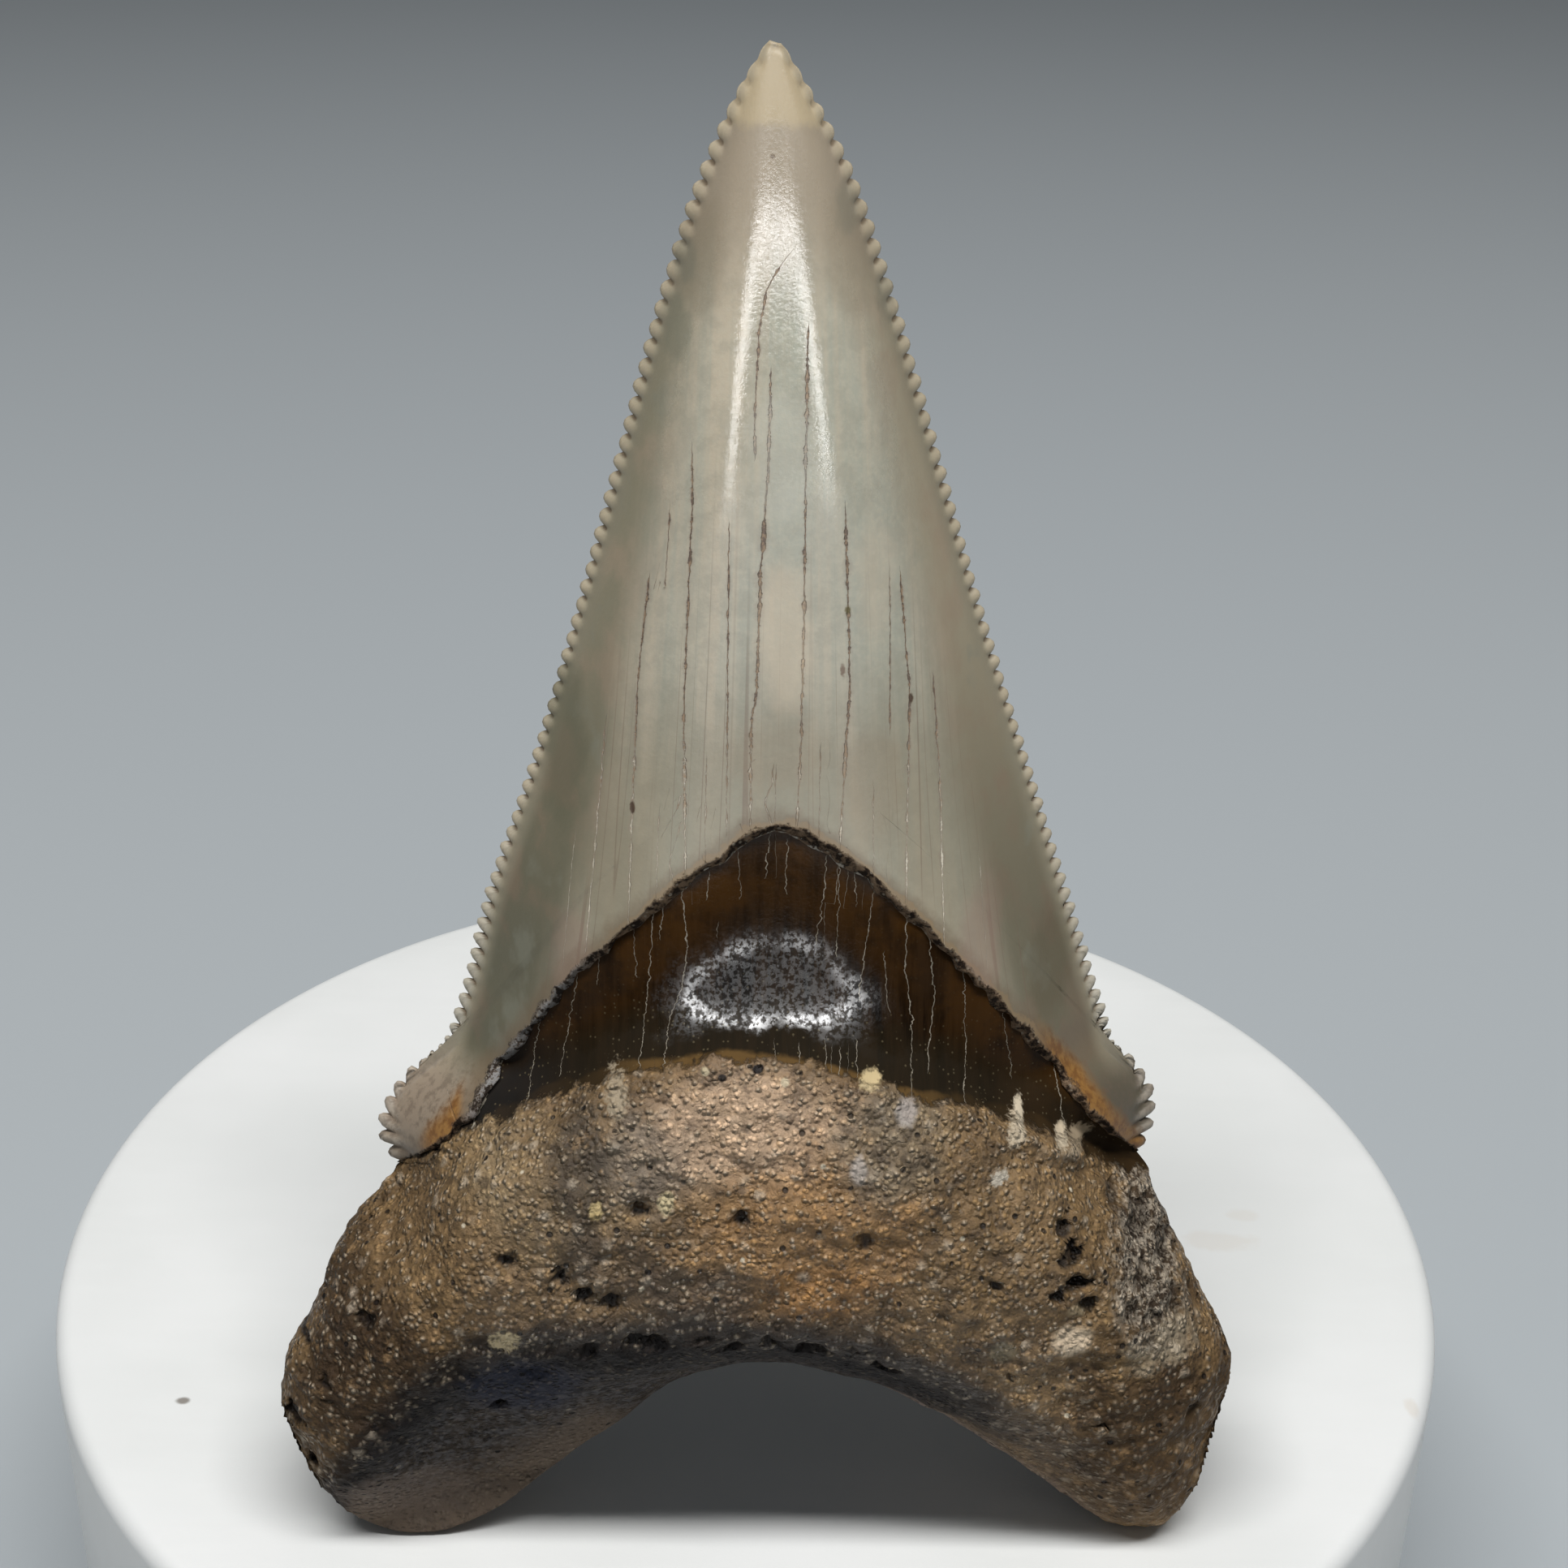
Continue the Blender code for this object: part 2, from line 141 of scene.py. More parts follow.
def softbox(name, centre, target, width, height, watts, shape="RECTANGLE"):
    """An area light at centre, facing target."""
    light = bpy.data.lights.new(name, "AREA")
    light.shape = shape
    light.size = width
    if shape == "RECTANGLE":
        light.size_y = height
    light.energy = watts
    box = add_object(name, light)
    box.location = centre
    box.rotation_euler = (Vector(target) - Vector(centre)).to_track_quat("-Z", "Y").to_euler()
    return box


def ring_of_lamps():
    """Small round lamps round the lens, weaker below it, for highlights alone."""
    turn = camera_matrix().to_3x3()
    for step in range(RING_LAMPS):
        angle = 2.0 * math.pi * (step + 0.5) / RING_LAMPS
        side = turn @ Vector((math.cos(angle), math.sin(angle), 0.0))
        raised = 0.5 + 0.5 * math.sin(angle)
        watts = RING_WATTS * (RING_LOW_SHARE + (1.0 - RING_LOW_SHARE) * raised)
        lamp = softbox("ring_lamp_" + str(step), CAMERA_AT + side * RING_RADIUS, TOOTH_MIDDLE,
                       RING_LAMP_SIZE, RING_LAMP_SIZE, watts, "DISK")
        lamp.visible_diffuse = False


main_place = (0.0, -MAIN_DISTANCE * math.cos(MAIN_ELEVATION),
              STAND_TOP + MAIN_DISTANCE * math.sin(MAIN_ELEVATION))
softbox("main", main_place, (0.0, 0.0, STAND_TOP), *MAIN_SIZE, MAIN_WATTS)
ring_of_lamps()

world = bpy.data.worlds.new("studio")
world.use_nodes = True
world.node_tree.nodes["Background"].inputs["Color"].default_value = (0.80, 0.86, 0.92, 1.0)
world.node_tree.nodes["Background"].inputs["Strength"].default_value = 0.09
bpy.context.scene.world = world
bpy.context.scene.view_settings.view_transform = "Standard"
bpy.context.scene.view_settings.look = "None"

# %% [markdown]
# ## Nodes in plain words
#
# A material is a graph of small nodes. These helpers add one node, set its values and
# wire it, so that each finish below reads like a recipe.

# %% Node helpers


def wire(tree, value, socket):
    """Link a socket's output to an input, or set the input to a plain value."""
    if isinstance(value, bpy.types.NodeSocket):
        tree.links.new(value, socket)
    else:
        socket.default_value = value


def add(tree, kind, inputs=None, **settings):
    """Add a node with these settings, and wire its inputs by name or number."""
    made = tree.nodes.new(kind)
    for name, value in settings.items():
        setattr(made, name, value)
    for socket, value in (inputs or {}).items():
        wire(tree, value, made.inputs[socket])
    return made


def maths(tree, operation, *values, clamp=False):
    """One Math node."""
    made = add(tree, "ShaderNodeMath", dict(enumerate(values)), operation=operation)
    made.use_clamp = clamp
    return made.outputs[0]


def fade(tree, value, low, high, to_low=0.0, to_high=1.0):
    """Smoothly turn value from low to high into to_low to to_high, and hold it outside."""
    made = add(tree, "ShaderNodeMapRange", interpolation_type="SMOOTHSTEP")
    for socket, number in enumerate((value, low, high, to_low, to_high)):
        wire(tree, number, made.inputs[socket])
    return made.outputs[0]


def blend(tree, mask, first, second, mode="MIX"):
    """Colour that goes from first to second as mask goes from 0 to 1."""
    made = add(tree, "ShaderNodeMix", data_type="RGBA", blend_type=mode)
    for socket, value in ((0, mask), (6, first), (7, second)):
        wire(tree, value, made.inputs[socket])
    return made.outputs[2]


def mix_value(tree, mask, first, second):
    """Number that goes from first to second as mask goes from 0 to 1."""
    made = add(tree, "ShaderNodeMix", data_type="FLOAT")
    for socket, value in ((0, mask), (2, first), (3, second)):
        wire(tree, value, made.inputs[socket])
    return made.outputs[0]


def noise_value(tree, vector, scale, detail=3.0, roughness=0.5, distortion=0.0):
    """Grey noise, about 0.5 in the middle."""
    made = add(tree, "ShaderNodeTexNoise", {
        "Vector": vector, "Scale": scale, "Detail": detail, "Roughness": roughness,
        "Distortion": distortion})
    return made.outputs["Fac"]


def stretch(tree, vector, factors):
    """The same coordinates scaled by three factors."""
    made = add(tree, "ShaderNodeMapping", {"Vector": vector, "Scale": factors})
    return made.outputs[0]


def attribute(tree, name):
    """A number that is stored on the piece's vertices."""
    return add(tree, "ShaderNodeAttribute", attribute_name=name).outputs["Fac"]


def new_group(name, inputs, outputs):
    """An empty node group with float or vector inputs and float outputs."""
    group = bpy.data.node_groups.new(name, "ShaderNodeTree")
    for label, kind, value in inputs:
        socket = group.interface.new_socket(label, in_out="INPUT", socket_type=kind)
        if kind == "NodeSocketFloat":
            socket.default_value = value
    for label in outputs:
        group.interface.new_socket(label, in_out="OUTPUT", socket_type="NodeSocketFloat")
    start = group.nodes.new("NodeGroupInput")
    end = group.nodes.new("NodeGroupOutput")
    return group, start.outputs, end.inputs


def group_outputs(tree, group, inputs):
    """Place a group in a tree, wire it, and give all its outputs."""
    made = add(tree, "ShaderNodeGroup", node_tree=group)
    for socket, value in inputs.items():
        wire(tree, value, made.inputs[socket])
    return made.outputs


def use_group(tree, group, inputs):
    """The same, for a group with one output."""
    return group_outputs(tree, group, inputs)[0]


def new_material(name):
    """A material with its Principled shader, ready for nodes."""
    material = bpy.data.materials.new(name)
    material.use_nodes = True
    tree = material.node_tree
    return material, tree, tree.nodes["Principled BSDF"]


# %% [markdown]
# ## Effects that several finishes share
#
# A node group is built once and placed in each finish with its own values.
# "soft patch" is a cloud-edged oval, for stains and worn places. "hairline" draws thin
# cracks along lines that the mesh carries. "crumbs" scatters small round spots, and
# "grains" packs a surface with crystals that each have their own shade.

# %% Shared groups


def make_soft_patch():
    """An oval mask at (X, Z) with a ragged soft edge."""
    group, start, end = new_group("soft patch", [
        ("Vector", "NodeSocketVector", None), ("X", "NodeSocketFloat", 0.0),
        ("Z", "NodeSocketFloat", 0.0), ("Wide", "NodeSocketFloat", 1.0),
        ("Tall", "NodeSocketFloat", 1.0), ("Ragged", "NodeSocketFloat", 0.4),
        ("Cloud", "NodeSocketFloat", 1.0)], ["Mask"])
    parts = add(group, "ShaderNodeSeparateXYZ", {0: start["Vector"]}).outputs
    across = maths(group, "DIVIDE", maths(group, "SUBTRACT", parts[0], start["X"]), start["Wide"])
    above = maths(group, "DIVIDE", maths(group, "SUBTRACT", parts[2], start["Z"]), start["Tall"])
    away = maths(group, "SQRT", maths(group, "ADD", maths(group, "MULTIPLY", across, across),
                                      maths(group, "MULTIPLY", above, above)))
    cloud = noise_value(group, start["Vector"], start["Cloud"], 4.0, 0.6)
    shaken = maths(group, "MULTIPLY_ADD", maths(group, "SUBTRACT", cloud, 0.5),
                   maths(group, "MULTIPLY", start["Ragged"], 4.0), away)
    wire(group, fade(group, shaken, 1.25, 0.55), end["Mask"])
    return group


def make_hairline():
    """Thin wandering lines where Side, the signed distance from a crack, is near zero."""
    group, start, end = new_group("hairline", [
        ("Vector", "NodeSocketVector", None), ("Side", "NodeSocketFloat", 0.0),
        ("Near", "NodeSocketFloat", 0.0), ("Width", "NodeSocketFloat", 0.05),
        ("Wander", "NodeSocketFloat", 0.1), ("Uneven", "NodeSocketFloat", 0.5)], ["Mask", "Wide"])
    slow = noise_value(group, stretch(group, start["Vector"], (0.5, 0.5, 1.0)), 2.0, 5.0, 0.65)
    moved = maths(group, "MULTIPLY_ADD", maths(group, "SUBTRACT", slow, 0.5), start["Wander"],
                  start["Side"])
    size = noise_value(group, stretch(group, start["Vector"], (0.3, 0.3, 1.0)), 1.7, 4.0, 0.7)
    swell = fade(group, size, 0.42, 0.70, 0.45, 2.5)
    width = maths(group, "MULTIPLY", start["Width"], mix_value(group, start["Uneven"], 1.0, swell))
    width = maths(group, "MULTIPLY", width, start["Near"])
    gap = maths(group, "ABSOLUTE", moved)
    ratio = maths(group, "DIVIDE", gap, maths(group, "ADD", width, 0.0008))
    wire(group, maths(group, "MULTIPLY", fade(group, ratio, 1.15, 0.55),
                      fade(group, start["Near"], 0.05, 0.35)), end["Mask"])
    wire(group, maths(group, "MULTIPLY", fade(group, ratio, 4.5, 0.8),
                      fade(group, start["Near"], 0.05, 0.5)), end["Wide"])
    return group


def make_crumbs():
    """Scattered round grains: Amount is how many of the cells hold one."""
    group, start, end = new_group("crumbs", [
        ("Vector", "NodeSocketVector", None), ("Scale", "NodeSocketFloat", 1.0),
        ("Amount", "NodeSocketFloat", 0.2), ("Size", "NodeSocketFloat", 0.3)], ["Mask"])
    cells = add(group, "ShaderNodeTexVoronoi", {"Vector": start["Vector"], "Scale": start["Scale"]})
    pick = add(group, "ShaderNodeSeparateColor", {0: cells.outputs["Color"]}).outputs[0]
    chosen = maths(group, "LESS_THAN", pick, start["Amount"])
    blob = fade(group, cells.outputs["Distance"], start["Size"],
                maths(group, "MULTIPLY", start["Size"], 0.5))
    wire(group, maths(group, "MULTIPLY", blob, chosen), end["Mask"])
    return group


def make_grains():
    """Close-packed uneven grains: a shade for each, and a rounded height."""
    group, start, end = new_group("grains", [
        ("Vector", "NodeSocketVector", None), ("Scale", "NodeSocketFloat", 4.0),
        ("Uneven", "NodeSocketFloat", 0.2)], ["Shade", "Height"])
    shake = add(group, "ShaderNodeTexNoise", {"Vector": start["Vector"], "Scale": 2.5,
                                              "Detail": 3.0})
    push = add(group, "ShaderNodeVectorMath", {0: shake.outputs["Color"], 1: (0.5, 0.5, 0.5)},
               operation="SUBTRACT")
    push = add(group, "ShaderNodeVectorMath", {0: push.outputs[0], "Scale": start["Uneven"]},
               operation="SCALE")
    moved = add(group, "ShaderNodeVectorMath", {0: start["Vector"], 1: push.outputs[0]},
                operation="ADD")
    cells = add(group, "ShaderNodeTexVoronoi", {"Vector": moved.outputs[0],
                                                "Scale": start["Scale"]})
    shade = add(group, "ShaderNodeSeparateColor", {0: cells.outputs["Color"]}).outputs[1]
    wire(group, shade, end["Shade"])
    wire(group, fade(group, cells.outputs["Distance"], 0.75, 0.0), end["Height"])
    return group


SOFT_PATCH = make_soft_patch()
HAIRLINE = make_hairline()
CRUMBS = make_crumbs()
GRAINS = make_grains()
print("groups:", [g.name for g in (SOFT_PATCH, HAIRLINE, CRUMBS, GRAINS)])

# %% [markdown]
# ## The block
#
# The block is a turned disc of white plastic with a softened rim. A cylinder is the
# right start; its rim is then bevelled in edit mode, and a shallow inset keeps the top
# face's shading flat right up to the rim.

# %% Block shape
STAND_RADIUS = 35.0 * MM
STAND_RIM = 0.9 * MM
STAND_FOOT_RIM = 0.4 * MM


def select_edges(obj, wanted):
    """In edit mode, select only the edges for which wanted(a, b) is true."""
    bpy.ops.mesh.select_mode(type="EDGE")
    bpy.ops.mesh.select_all(action="DESELECT")
    bpy.ops.object.mode_set(mode="OBJECT")
    places = obj.data.vertices
    for edge in obj.data.edges:
        edge.select = bool(wanted(places[edge.vertices[0]].co, places[edge.vertices[1]].co))
    bpy.ops.object.mode_set(mode="EDIT")


def make_block():
    """Turned disc with a rounded top rim and a small chamfer at the foot."""
    bpy.ops.object.select_all(action="DESELECT")
    bpy.ops.mesh.primitive_cylinder_add(vertices=192, radius=STAND_RADIUS, depth=STAND_TOP,
                                        location=(0.0, 0.0, STAND_TOP / 2.0))
    block = bpy.context.object
    block.name = block.data.name = "block"
    bpy.ops.object.transform_apply(location=True, rotation=True, scale=True)
    bpy.ops.object.mode_set(mode="EDIT")
    select_edges(block, lambda a, b: min(a.z, b.z) > STAND_TOP - 1e-5)
    bpy.ops.mesh.bevel(offset=STAND_RIM, segments=6, profile=0.5)
    select_edges(block, lambda a, b: max(a.z, b.z) < 1e-5)
    bpy.ops.mesh.bevel(offset=STAND_FOOT_RIM, segments=2)
    bpy.ops.mesh.select_mode(type="FACE")
    bpy.ops.mesh.select_all(action="DESELECT")
    bpy.ops.object.mode_set(mode="OBJECT")
    for face in block.data.polygons:
        face.select = face.normal.z > 0.999
    bpy.ops.object.mode_set(mode="EDIT")
    bpy.ops.mesh.inset(thickness=1.5 * MM)
    bpy.ops.object.mode_set(mode="OBJECT")
    bpy.ops.object.shade_smooth_by_angle(angle=math.radians(40.0))
    return block


block = make_block()
print("block:", len(block.data.polygons), "faces")

# %% [markdown]
# ## The block's finish
#
# White plastic is never one flat white. It has a faint cloudiness, fine scuffs that
# break its sheen, a few specks of dust and two beige smudges where something rubbed.

# %% Block finish


def make_block_finish():
    """Satin white plastic with faint scuffs, specks and smudges."""
    material, tree, shader = new_material("satin white plastic")
    place = add(tree, "ShaderNodeTexCoord").outputs["Object"]
    mm = stretch(tree, place, (1000.0, 1000.0, 1000.0))
    cloud = noise_value(tree, mm, 0.06, 3.0, 0.5)
    colour = blend(tree, fade(tree, cloud, 0.3, 0.7), (0.78, 0.79, 0.77, 1.0),
                   (0.84, 0.845, 0.83, 1.0))
    flat = add(tree, "ShaderNodeMapping", {"Vector": mm, "Rotation": (math.pi / 2.0, 0.0, 0.0)})
    for x, y, wide, tall, strength in ((24.3, -1.0, 1.9, 0.8, 0.16), (25.9, 1.2, 0.8, 0.5, 0.14),
                                       (31.6, -13.2, 0.4, 0.7, 0.25)):
        smudge = use_group(tree, SOFT_PATCH, {"Vector": flat.outputs[0], "X": x, "Z": y,
                                              "Wide": wide, "Tall": tall, "Ragged": 0.5,
                                              "Cloud": 0.5})
        colour = blend(tree, maths(tree, "MULTIPLY", smudge, strength), colour,
                       (0.62, 0.50, 0.36, 1.0))
    dust = use_group(tree, SOFT_PATCH, {"Vector": flat.outputs[0], "X": -26.2, "Z": -14.5,
                                        "Wide": 0.35, "Tall": 0.25, "Ragged": 0.1, "Cloud": 2.0})
    colour = blend(tree, maths(tree, "MULTIPLY", dust, 0.8), colour, (0.16, 0.13, 0.10, 1.0))
    specks = use_group(tree, CRUMBS, {"Vector": mm, "Scale": 0.22, "Amount": 0.035, "Size": 0.035})
    colour = blend(tree, maths(tree, "MULTIPLY", specks, 0.7), colour, (0.20, 0.18, 0.16, 1.0))
    scuffs = noise_value(tree, stretch(tree, mm, (0.4, 3.0, 0.4)), 0.5, 6.0, 0.7, 0.6)
    fine = noise_value(tree, mm, 6.0, 4.0, 0.6)
    wire(tree, colour, shader.inputs["Base Color"])
    wire(tree, fade(tree, scuffs, 0.3, 0.75, 0.38, 0.56), shader.inputs["Roughness"])
    bump = add(tree, "ShaderNodeBump", {"Height": fine, "Strength": 0.06, "Distance": 0.0001})
    wire(tree, bump.outputs[0], shader.inputs["Normal"])
    shader.inputs["Subsurface Weight"].default_value = 0.05
    shader.inputs["Subsurface Radius"].default_value = (0.002, 0.002, 0.002)
    return material


block.data.materials.append(make_block_finish())
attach(block, "root")
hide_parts("stand")
print("block finish:", block.data.materials[0].name)

# %% [markdown]
# ## The tooth's outlines
#
# The tooth is described in its own millimetres: x across, z from the foot to the tip,
# and y for depth, with the rounded face towards -y. The cutting edges lie at y = 0.
# Every outline is a short list of points with a smooth curve through it. The same lists
# and formulas shape the CAD model, so the detailed skins lie exactly on it.

# %% Outlines
TOOTH_LEAN = math.radians(12.0)
TOOTH_TURN = math.radians(2.33)
TOOTH_FOOT = (1.38, -18.3)

CROWN_LEFT = [
    (15.1, -16.2), (16.6, -16.9), (17.9, -16.6), (19.2, -15.5), (20.1, -14.3),
    (22.1, -13.5), (27.2, -12.15), (32.6, -10.3), (39.4, -8.3), (46.0, -6.5),
    (52.5, -4.7), (57.1, -3.1), (60.1, -1.7), (61.6, -0.75),
]
CROWN_RIGHT = [
    (15.5, 15.8), (16.6, 16.2), (17.9, 16.35), (19.2, 15.7), (20.2, 14.6),
    (22.1, 13.95), (27.2, 12.3), (32.6, 10.5), (39.5, 8.2), (46.1, 6.15),
    (52.5, 4.1), (57.2, 2.3), (60.2, 0.6), (61.5, -0.25),
]
CHEVRON_FRONT = [(-16.2, 15.1), (-13.4, 18.3), (-11.2, 21.4), (-8.6, 25.1), (-5.8, 27.9),
                 (-3.1, 30.2), (-0.5, 31.8), (2.4, 30.6), (4.8, 28.6), (7.9, 25.4),
                 (10.8, 21.9), (14.3, 17.4), (15.8, 15.5)]
ROOT_LINE_FRONT = [(-16.5, 14.7), (-12.2, 17.9), (-9.0, 20.0), (-6.6, 21.3), (-3.6, 22.1),
                   (-0.7, 22.5), (2.9, 21.8), (6.3, 20.1), (9.8, 18.1), (12.7, 16.4),
                   (16.2, 15.0)]
CHEVRON_BACK = [(-16.2, 15.1), (-11.0, 18.6), (-5.5, 21.0), (0.0, 22.0), (5.5, 21.0),
                (11.0, 18.6), (15.8, 15.5)]
ROOT_LINE_BACK = [(-16.5, 14.7), (-11.0, 17.9), (-5.5, 20.3), (0.0, 21.3), (5.5, 20.3),
                  (11.0, 17.9), (16.2, 15.0)]
ROOT_LEFT = [(4.0, -20.7), (5.6, -21.3), (7.2, -21.0), (9.4, -19.8), (12.0, -18.75),
             (14.7, -16.5)]
ROOT_RIGHT = [(4.0, 19.1), (5.6, 19.65), (7.2, 19.9), (9.4, 18.85), (12.0, 17.45),
              (15.0, 16.2)]
ROOT_FOOT = [(-20.7, 4.0), (-19.4, 1.3), (-17.6, -0.3), (-15.2, -0.8), (-12.5, 0.1),
             (-9.8, 2.0), (-6.9, 4.2), (-4.0, 6.3), (-0.4, 7.3), (3.2, 6.5), (6.5, 5.1),
             (10.0, 2.8), (13.0, 0.7), (15.1, -0.6), (17.2, -0.4), (18.5, 1.3), (19.1, 4.0)]
FRONT_DEPTH = [(0.0, 7.2), (7.0, 8.2), (12.0, 9.1), (16.0, 9.2), (19.0, 8.9), (22.0, 8.3),
               (25.0, 7.6), (28.0, 6.95), (31.0, 6.35), (33.5, 5.95), (38.0, 5.55), (45.0, 4.9),
               (47.0, 4.55), (49.0, 4.1), (52.0, 3.32), (55.8, 2.22), (58.0, 1.5), (60.5, 0.65),
               (61.4, 0.35)]
BACK_DEPTH = [(0.0, 0.8), (7.0, 2.0), (14.0, 3.3), (20.0, 2.9), (26.0, 2.5), (34.0, 2.1),
              (45.0, 1.6), (54.0, 1.1), (60.0, 0.6), (61.4, 0.35)]
EDGE_PLANE_Y = [(-1.0, -3.5), (4.0, -3.1), (9.0, -1.9), (14.5, -0.5), (18.0, 0.0),
                (62.0, 0.0)]
FOLD = [(-20.5, -0.6), (-19.0, 2.2), (-17.0, 5.2), (-13.6, 8.9), (-9.0, 10.7), (-4.6, 11.2),
        (2.0, 10.6), (6.5, 8.6), (11.7, 5.2), (15.5, 2.0), (18.5, 0.0)]
FRONT_LENS = (3.3, 1.35)
BACK_LENS = (2.0, 0.9)
ROOT_ROUND = 4.2
ROOT_RISE = 1.8
BAND_HOLLOW = 0.58
BAND_HOLLOW_SKEW = 1.8
HOLLOW_SPREAD = 0.018
LOBE_THINNING = 0.22
LOBE_REACH = 20.0
BASAL_SLOPE = 0.4
FOLD_ROUND = 0.8
print("crown is", round(CROWN_LEFT[-1][0] - CROWN_LEFT[0][0], 1), "mm tall")

# %% Curve helpers


def spline(points, at):
    """Smooth curve through points (u, value), read at each u in at."""
    u = np.array([p[0] for p in points], dtype=float)
    v = np.array([p[1] for p in points], dtype=float)
    slope = np.gradient(v, u)
    at = np.clip(np.asarray(at, dtype=float), u[0], u[-1])
    i = np.clip(np.searchsorted(u, at, side="right") - 1, 0, len(u) - 2)
    span = u[i + 1] - u[i]
    f = (at - u[i]) / span
    rise = f * f * (3.0 - 2.0 * f)
    return (v[i] * (1.0 - rise) + v[i + 1] * rise
            + span * (slope[i] * f * (1.0 - f) ** 2 - slope[i + 1] * f * f * (1.0 - f)))


def path(points, at):
    """Smooth plane path through points, read at fractions of its length."""
    pts = np.array(points, dtype=float)
    steps = np.hypot(*np.diff(pts, axis=0).T)
    length = np.concatenate([[0.0], np.cumsum(steps)])
    where = np.asarray(at) * length[-1]
    x = spline(list(zip(length, pts[:, 0])), where)
    z = spline(list(zip(length, pts[:, 1])), where)
    return np.stack([x, z], axis=-1)


def side_path(points, at):
    """The same for an edge given as (z, x) points."""
    return path([(x, z) for z, x in points], at)


def smoothstep(low, high, value):
    f = np.clip((value - low) / (high - low), 0.0, 1.0)
    return f * f * (3.0 - 2.0 * f)


def filled(bottom, top, left, right):
    """Grid of plane points, rows by columns, filled in between four edge curves."""
    t = np.linspace(0.0, 1.0, len(left))[:, None, None]
    s = np.linspace(0.0, 1.0, len(bottom))[None, :, None]
    ruled_up = (1.0 - t) * bottom[None] + t * top[None]
    ruled_across = (1.0 - s) * left[:, None] + s * right[:, None]
    corners = ((1.0 - s) * (1.0 - t) * bottom[0] + s * (1.0 - t) * bottom[-1]
               + (1.0 - s) * t * top[0] + s * t * top[-1])
    return ruled_up + ruled_across - corners


def noise_at(points, size, seed=0.0):
    """Smooth noise from -1 to 1 at an array of points."""
    flat = points.reshape(-1, points.shape[-1])
    out = [noise.noise(Vector((p[0], p[1] if len(p) > 2 else seed, p[-1])) / size
                       + Vector((seed, seed, seed))) for p in flat]
    return np.array(out).reshape(points.shape[:-1])


# %% [markdown]
# ## Depth of the two faces
#
# Across the crown the section is a lens: full in the middle, nothing at the cutting
# edges, and flatter in the middle than an ellipse, so that a highlight spreads into a
# broad panel. The root is thick and round at its outline. One formula blends them at
# the root line.

# %% Depth formulas


def distance_to(x, z, corners):
    """Distance in the plane from each point to the nearest of some corner points."""
    gap = np.full(x.shape, 1e9)
    for cx, cz in corners:
        gap = np.minimum(gap, np.hypot(x - cx, z - cz))
    return gap


ROOT_OUTLINE = np.concatenate([
    path(ROOT_FOOT, np.linspace(0.0, 1.0, 160)),
    side_path(ROOT_LEFT, np.linspace(0.0, 1.0, 50)),
    side_path(ROOT_RIGHT, np.linspace(0.0, 1.0, 50))])
CROWN_OUTLINE = np.concatenate([
    side_path(CROWN_LEFT, np.linspace(0.0, 1.0, 220)),
    side_path(CROWN_RIGHT, np.linspace(0.0, 1.0, 220))])


def crown_depth(x, z, depth, lens):
    """Lens section of the crown."""
    left = spline(CROWN_LEFT, z)
    right = spline(CROWN_RIGHT, z)
    across = np.clip(np.abs(x - (left + right) / 2.0) / ((right - left) / 2.0), 0.0, 1.0)
    flatness, edge_power = lens
    return spline(depth, z) * (1.0 - across ** flatness) ** edge_power


def basal_fall(x, z):
    """How far the basal face has fallen back at each point below the fold."""
    below = (spline(FOLD, x) - z) / FOLD_ROUND
    return BASAL_SLOPE * FOLD_ROUND * np.logaddexp(0.0, below)


def band_hollow(x, z):
    """Hollow of the band between the root line and the enamel, deepest in its lower half."""
    low = spline(ROOT_LINE_FRONT, x)
    height = spline(CHEVRON_FRONT, x) - low
    f = np.clip((z - low) / height, 0.0, 1.0)
    spread = 1.0 + HOLLOW_SPREAD * x * x
    return BAND_HOLLOW * spread * height * f * (1.0 - f) ** BAND_HOLLOW_SKEW


def root_depth(x, z, depth, inwards):
    """Root section: thick, thinner towards the lobes, round at its outline."""
    full = spline(depth, z) * (1.0 - LOBE_THINNING * (x / LOBE_REACH) ** 2)
    full += inwards * spline(EDGE_PLANE_Y, z)
    if inwards > 0.0:
        full = np.clip(full - basal_fall(x, z), 0.0, None)
    near = np.clip(distance_to(x, z, ROOT_OUTLINE) / ROOT_ROUND, 0.0, 1.0)
    return full * np.sqrt(1.0 - (1.0 - near) ** 2)


def face_depth(x, z, front):
    """Depth of one face from the sheet of the outline."""
    depth, lens = (FRONT_DEPTH, FRONT_LENS) if front else (BACK_DEPTH, BACK_LENS)
    root_line = ROOT_LINE_FRONT if front else ROOT_LINE_BACK
    blade = crown_depth(x, z, depth, lens)
    thick = root_depth(x, z, depth, 1.0 if front else -1.0)
    below = np.clip(spline(root_line, x) - z, 0.0, None)
    share = 1.0 - np.exp(-below / ROOT_RISE)
    return blade * (1.0 - share) + thick * share


# %% [markdown]
# ## From a grid to a skin
#
# Each face of a skin starts as a grid primitive. Its points are then placed by the
# formulas above, because a loft between such different outlines can't be drawn with
# extrude and scale alone. The front and back sheets are joined and merged along the
# outline, and a last row of faces closes the open end, which another skin hides.

# %% Sheets


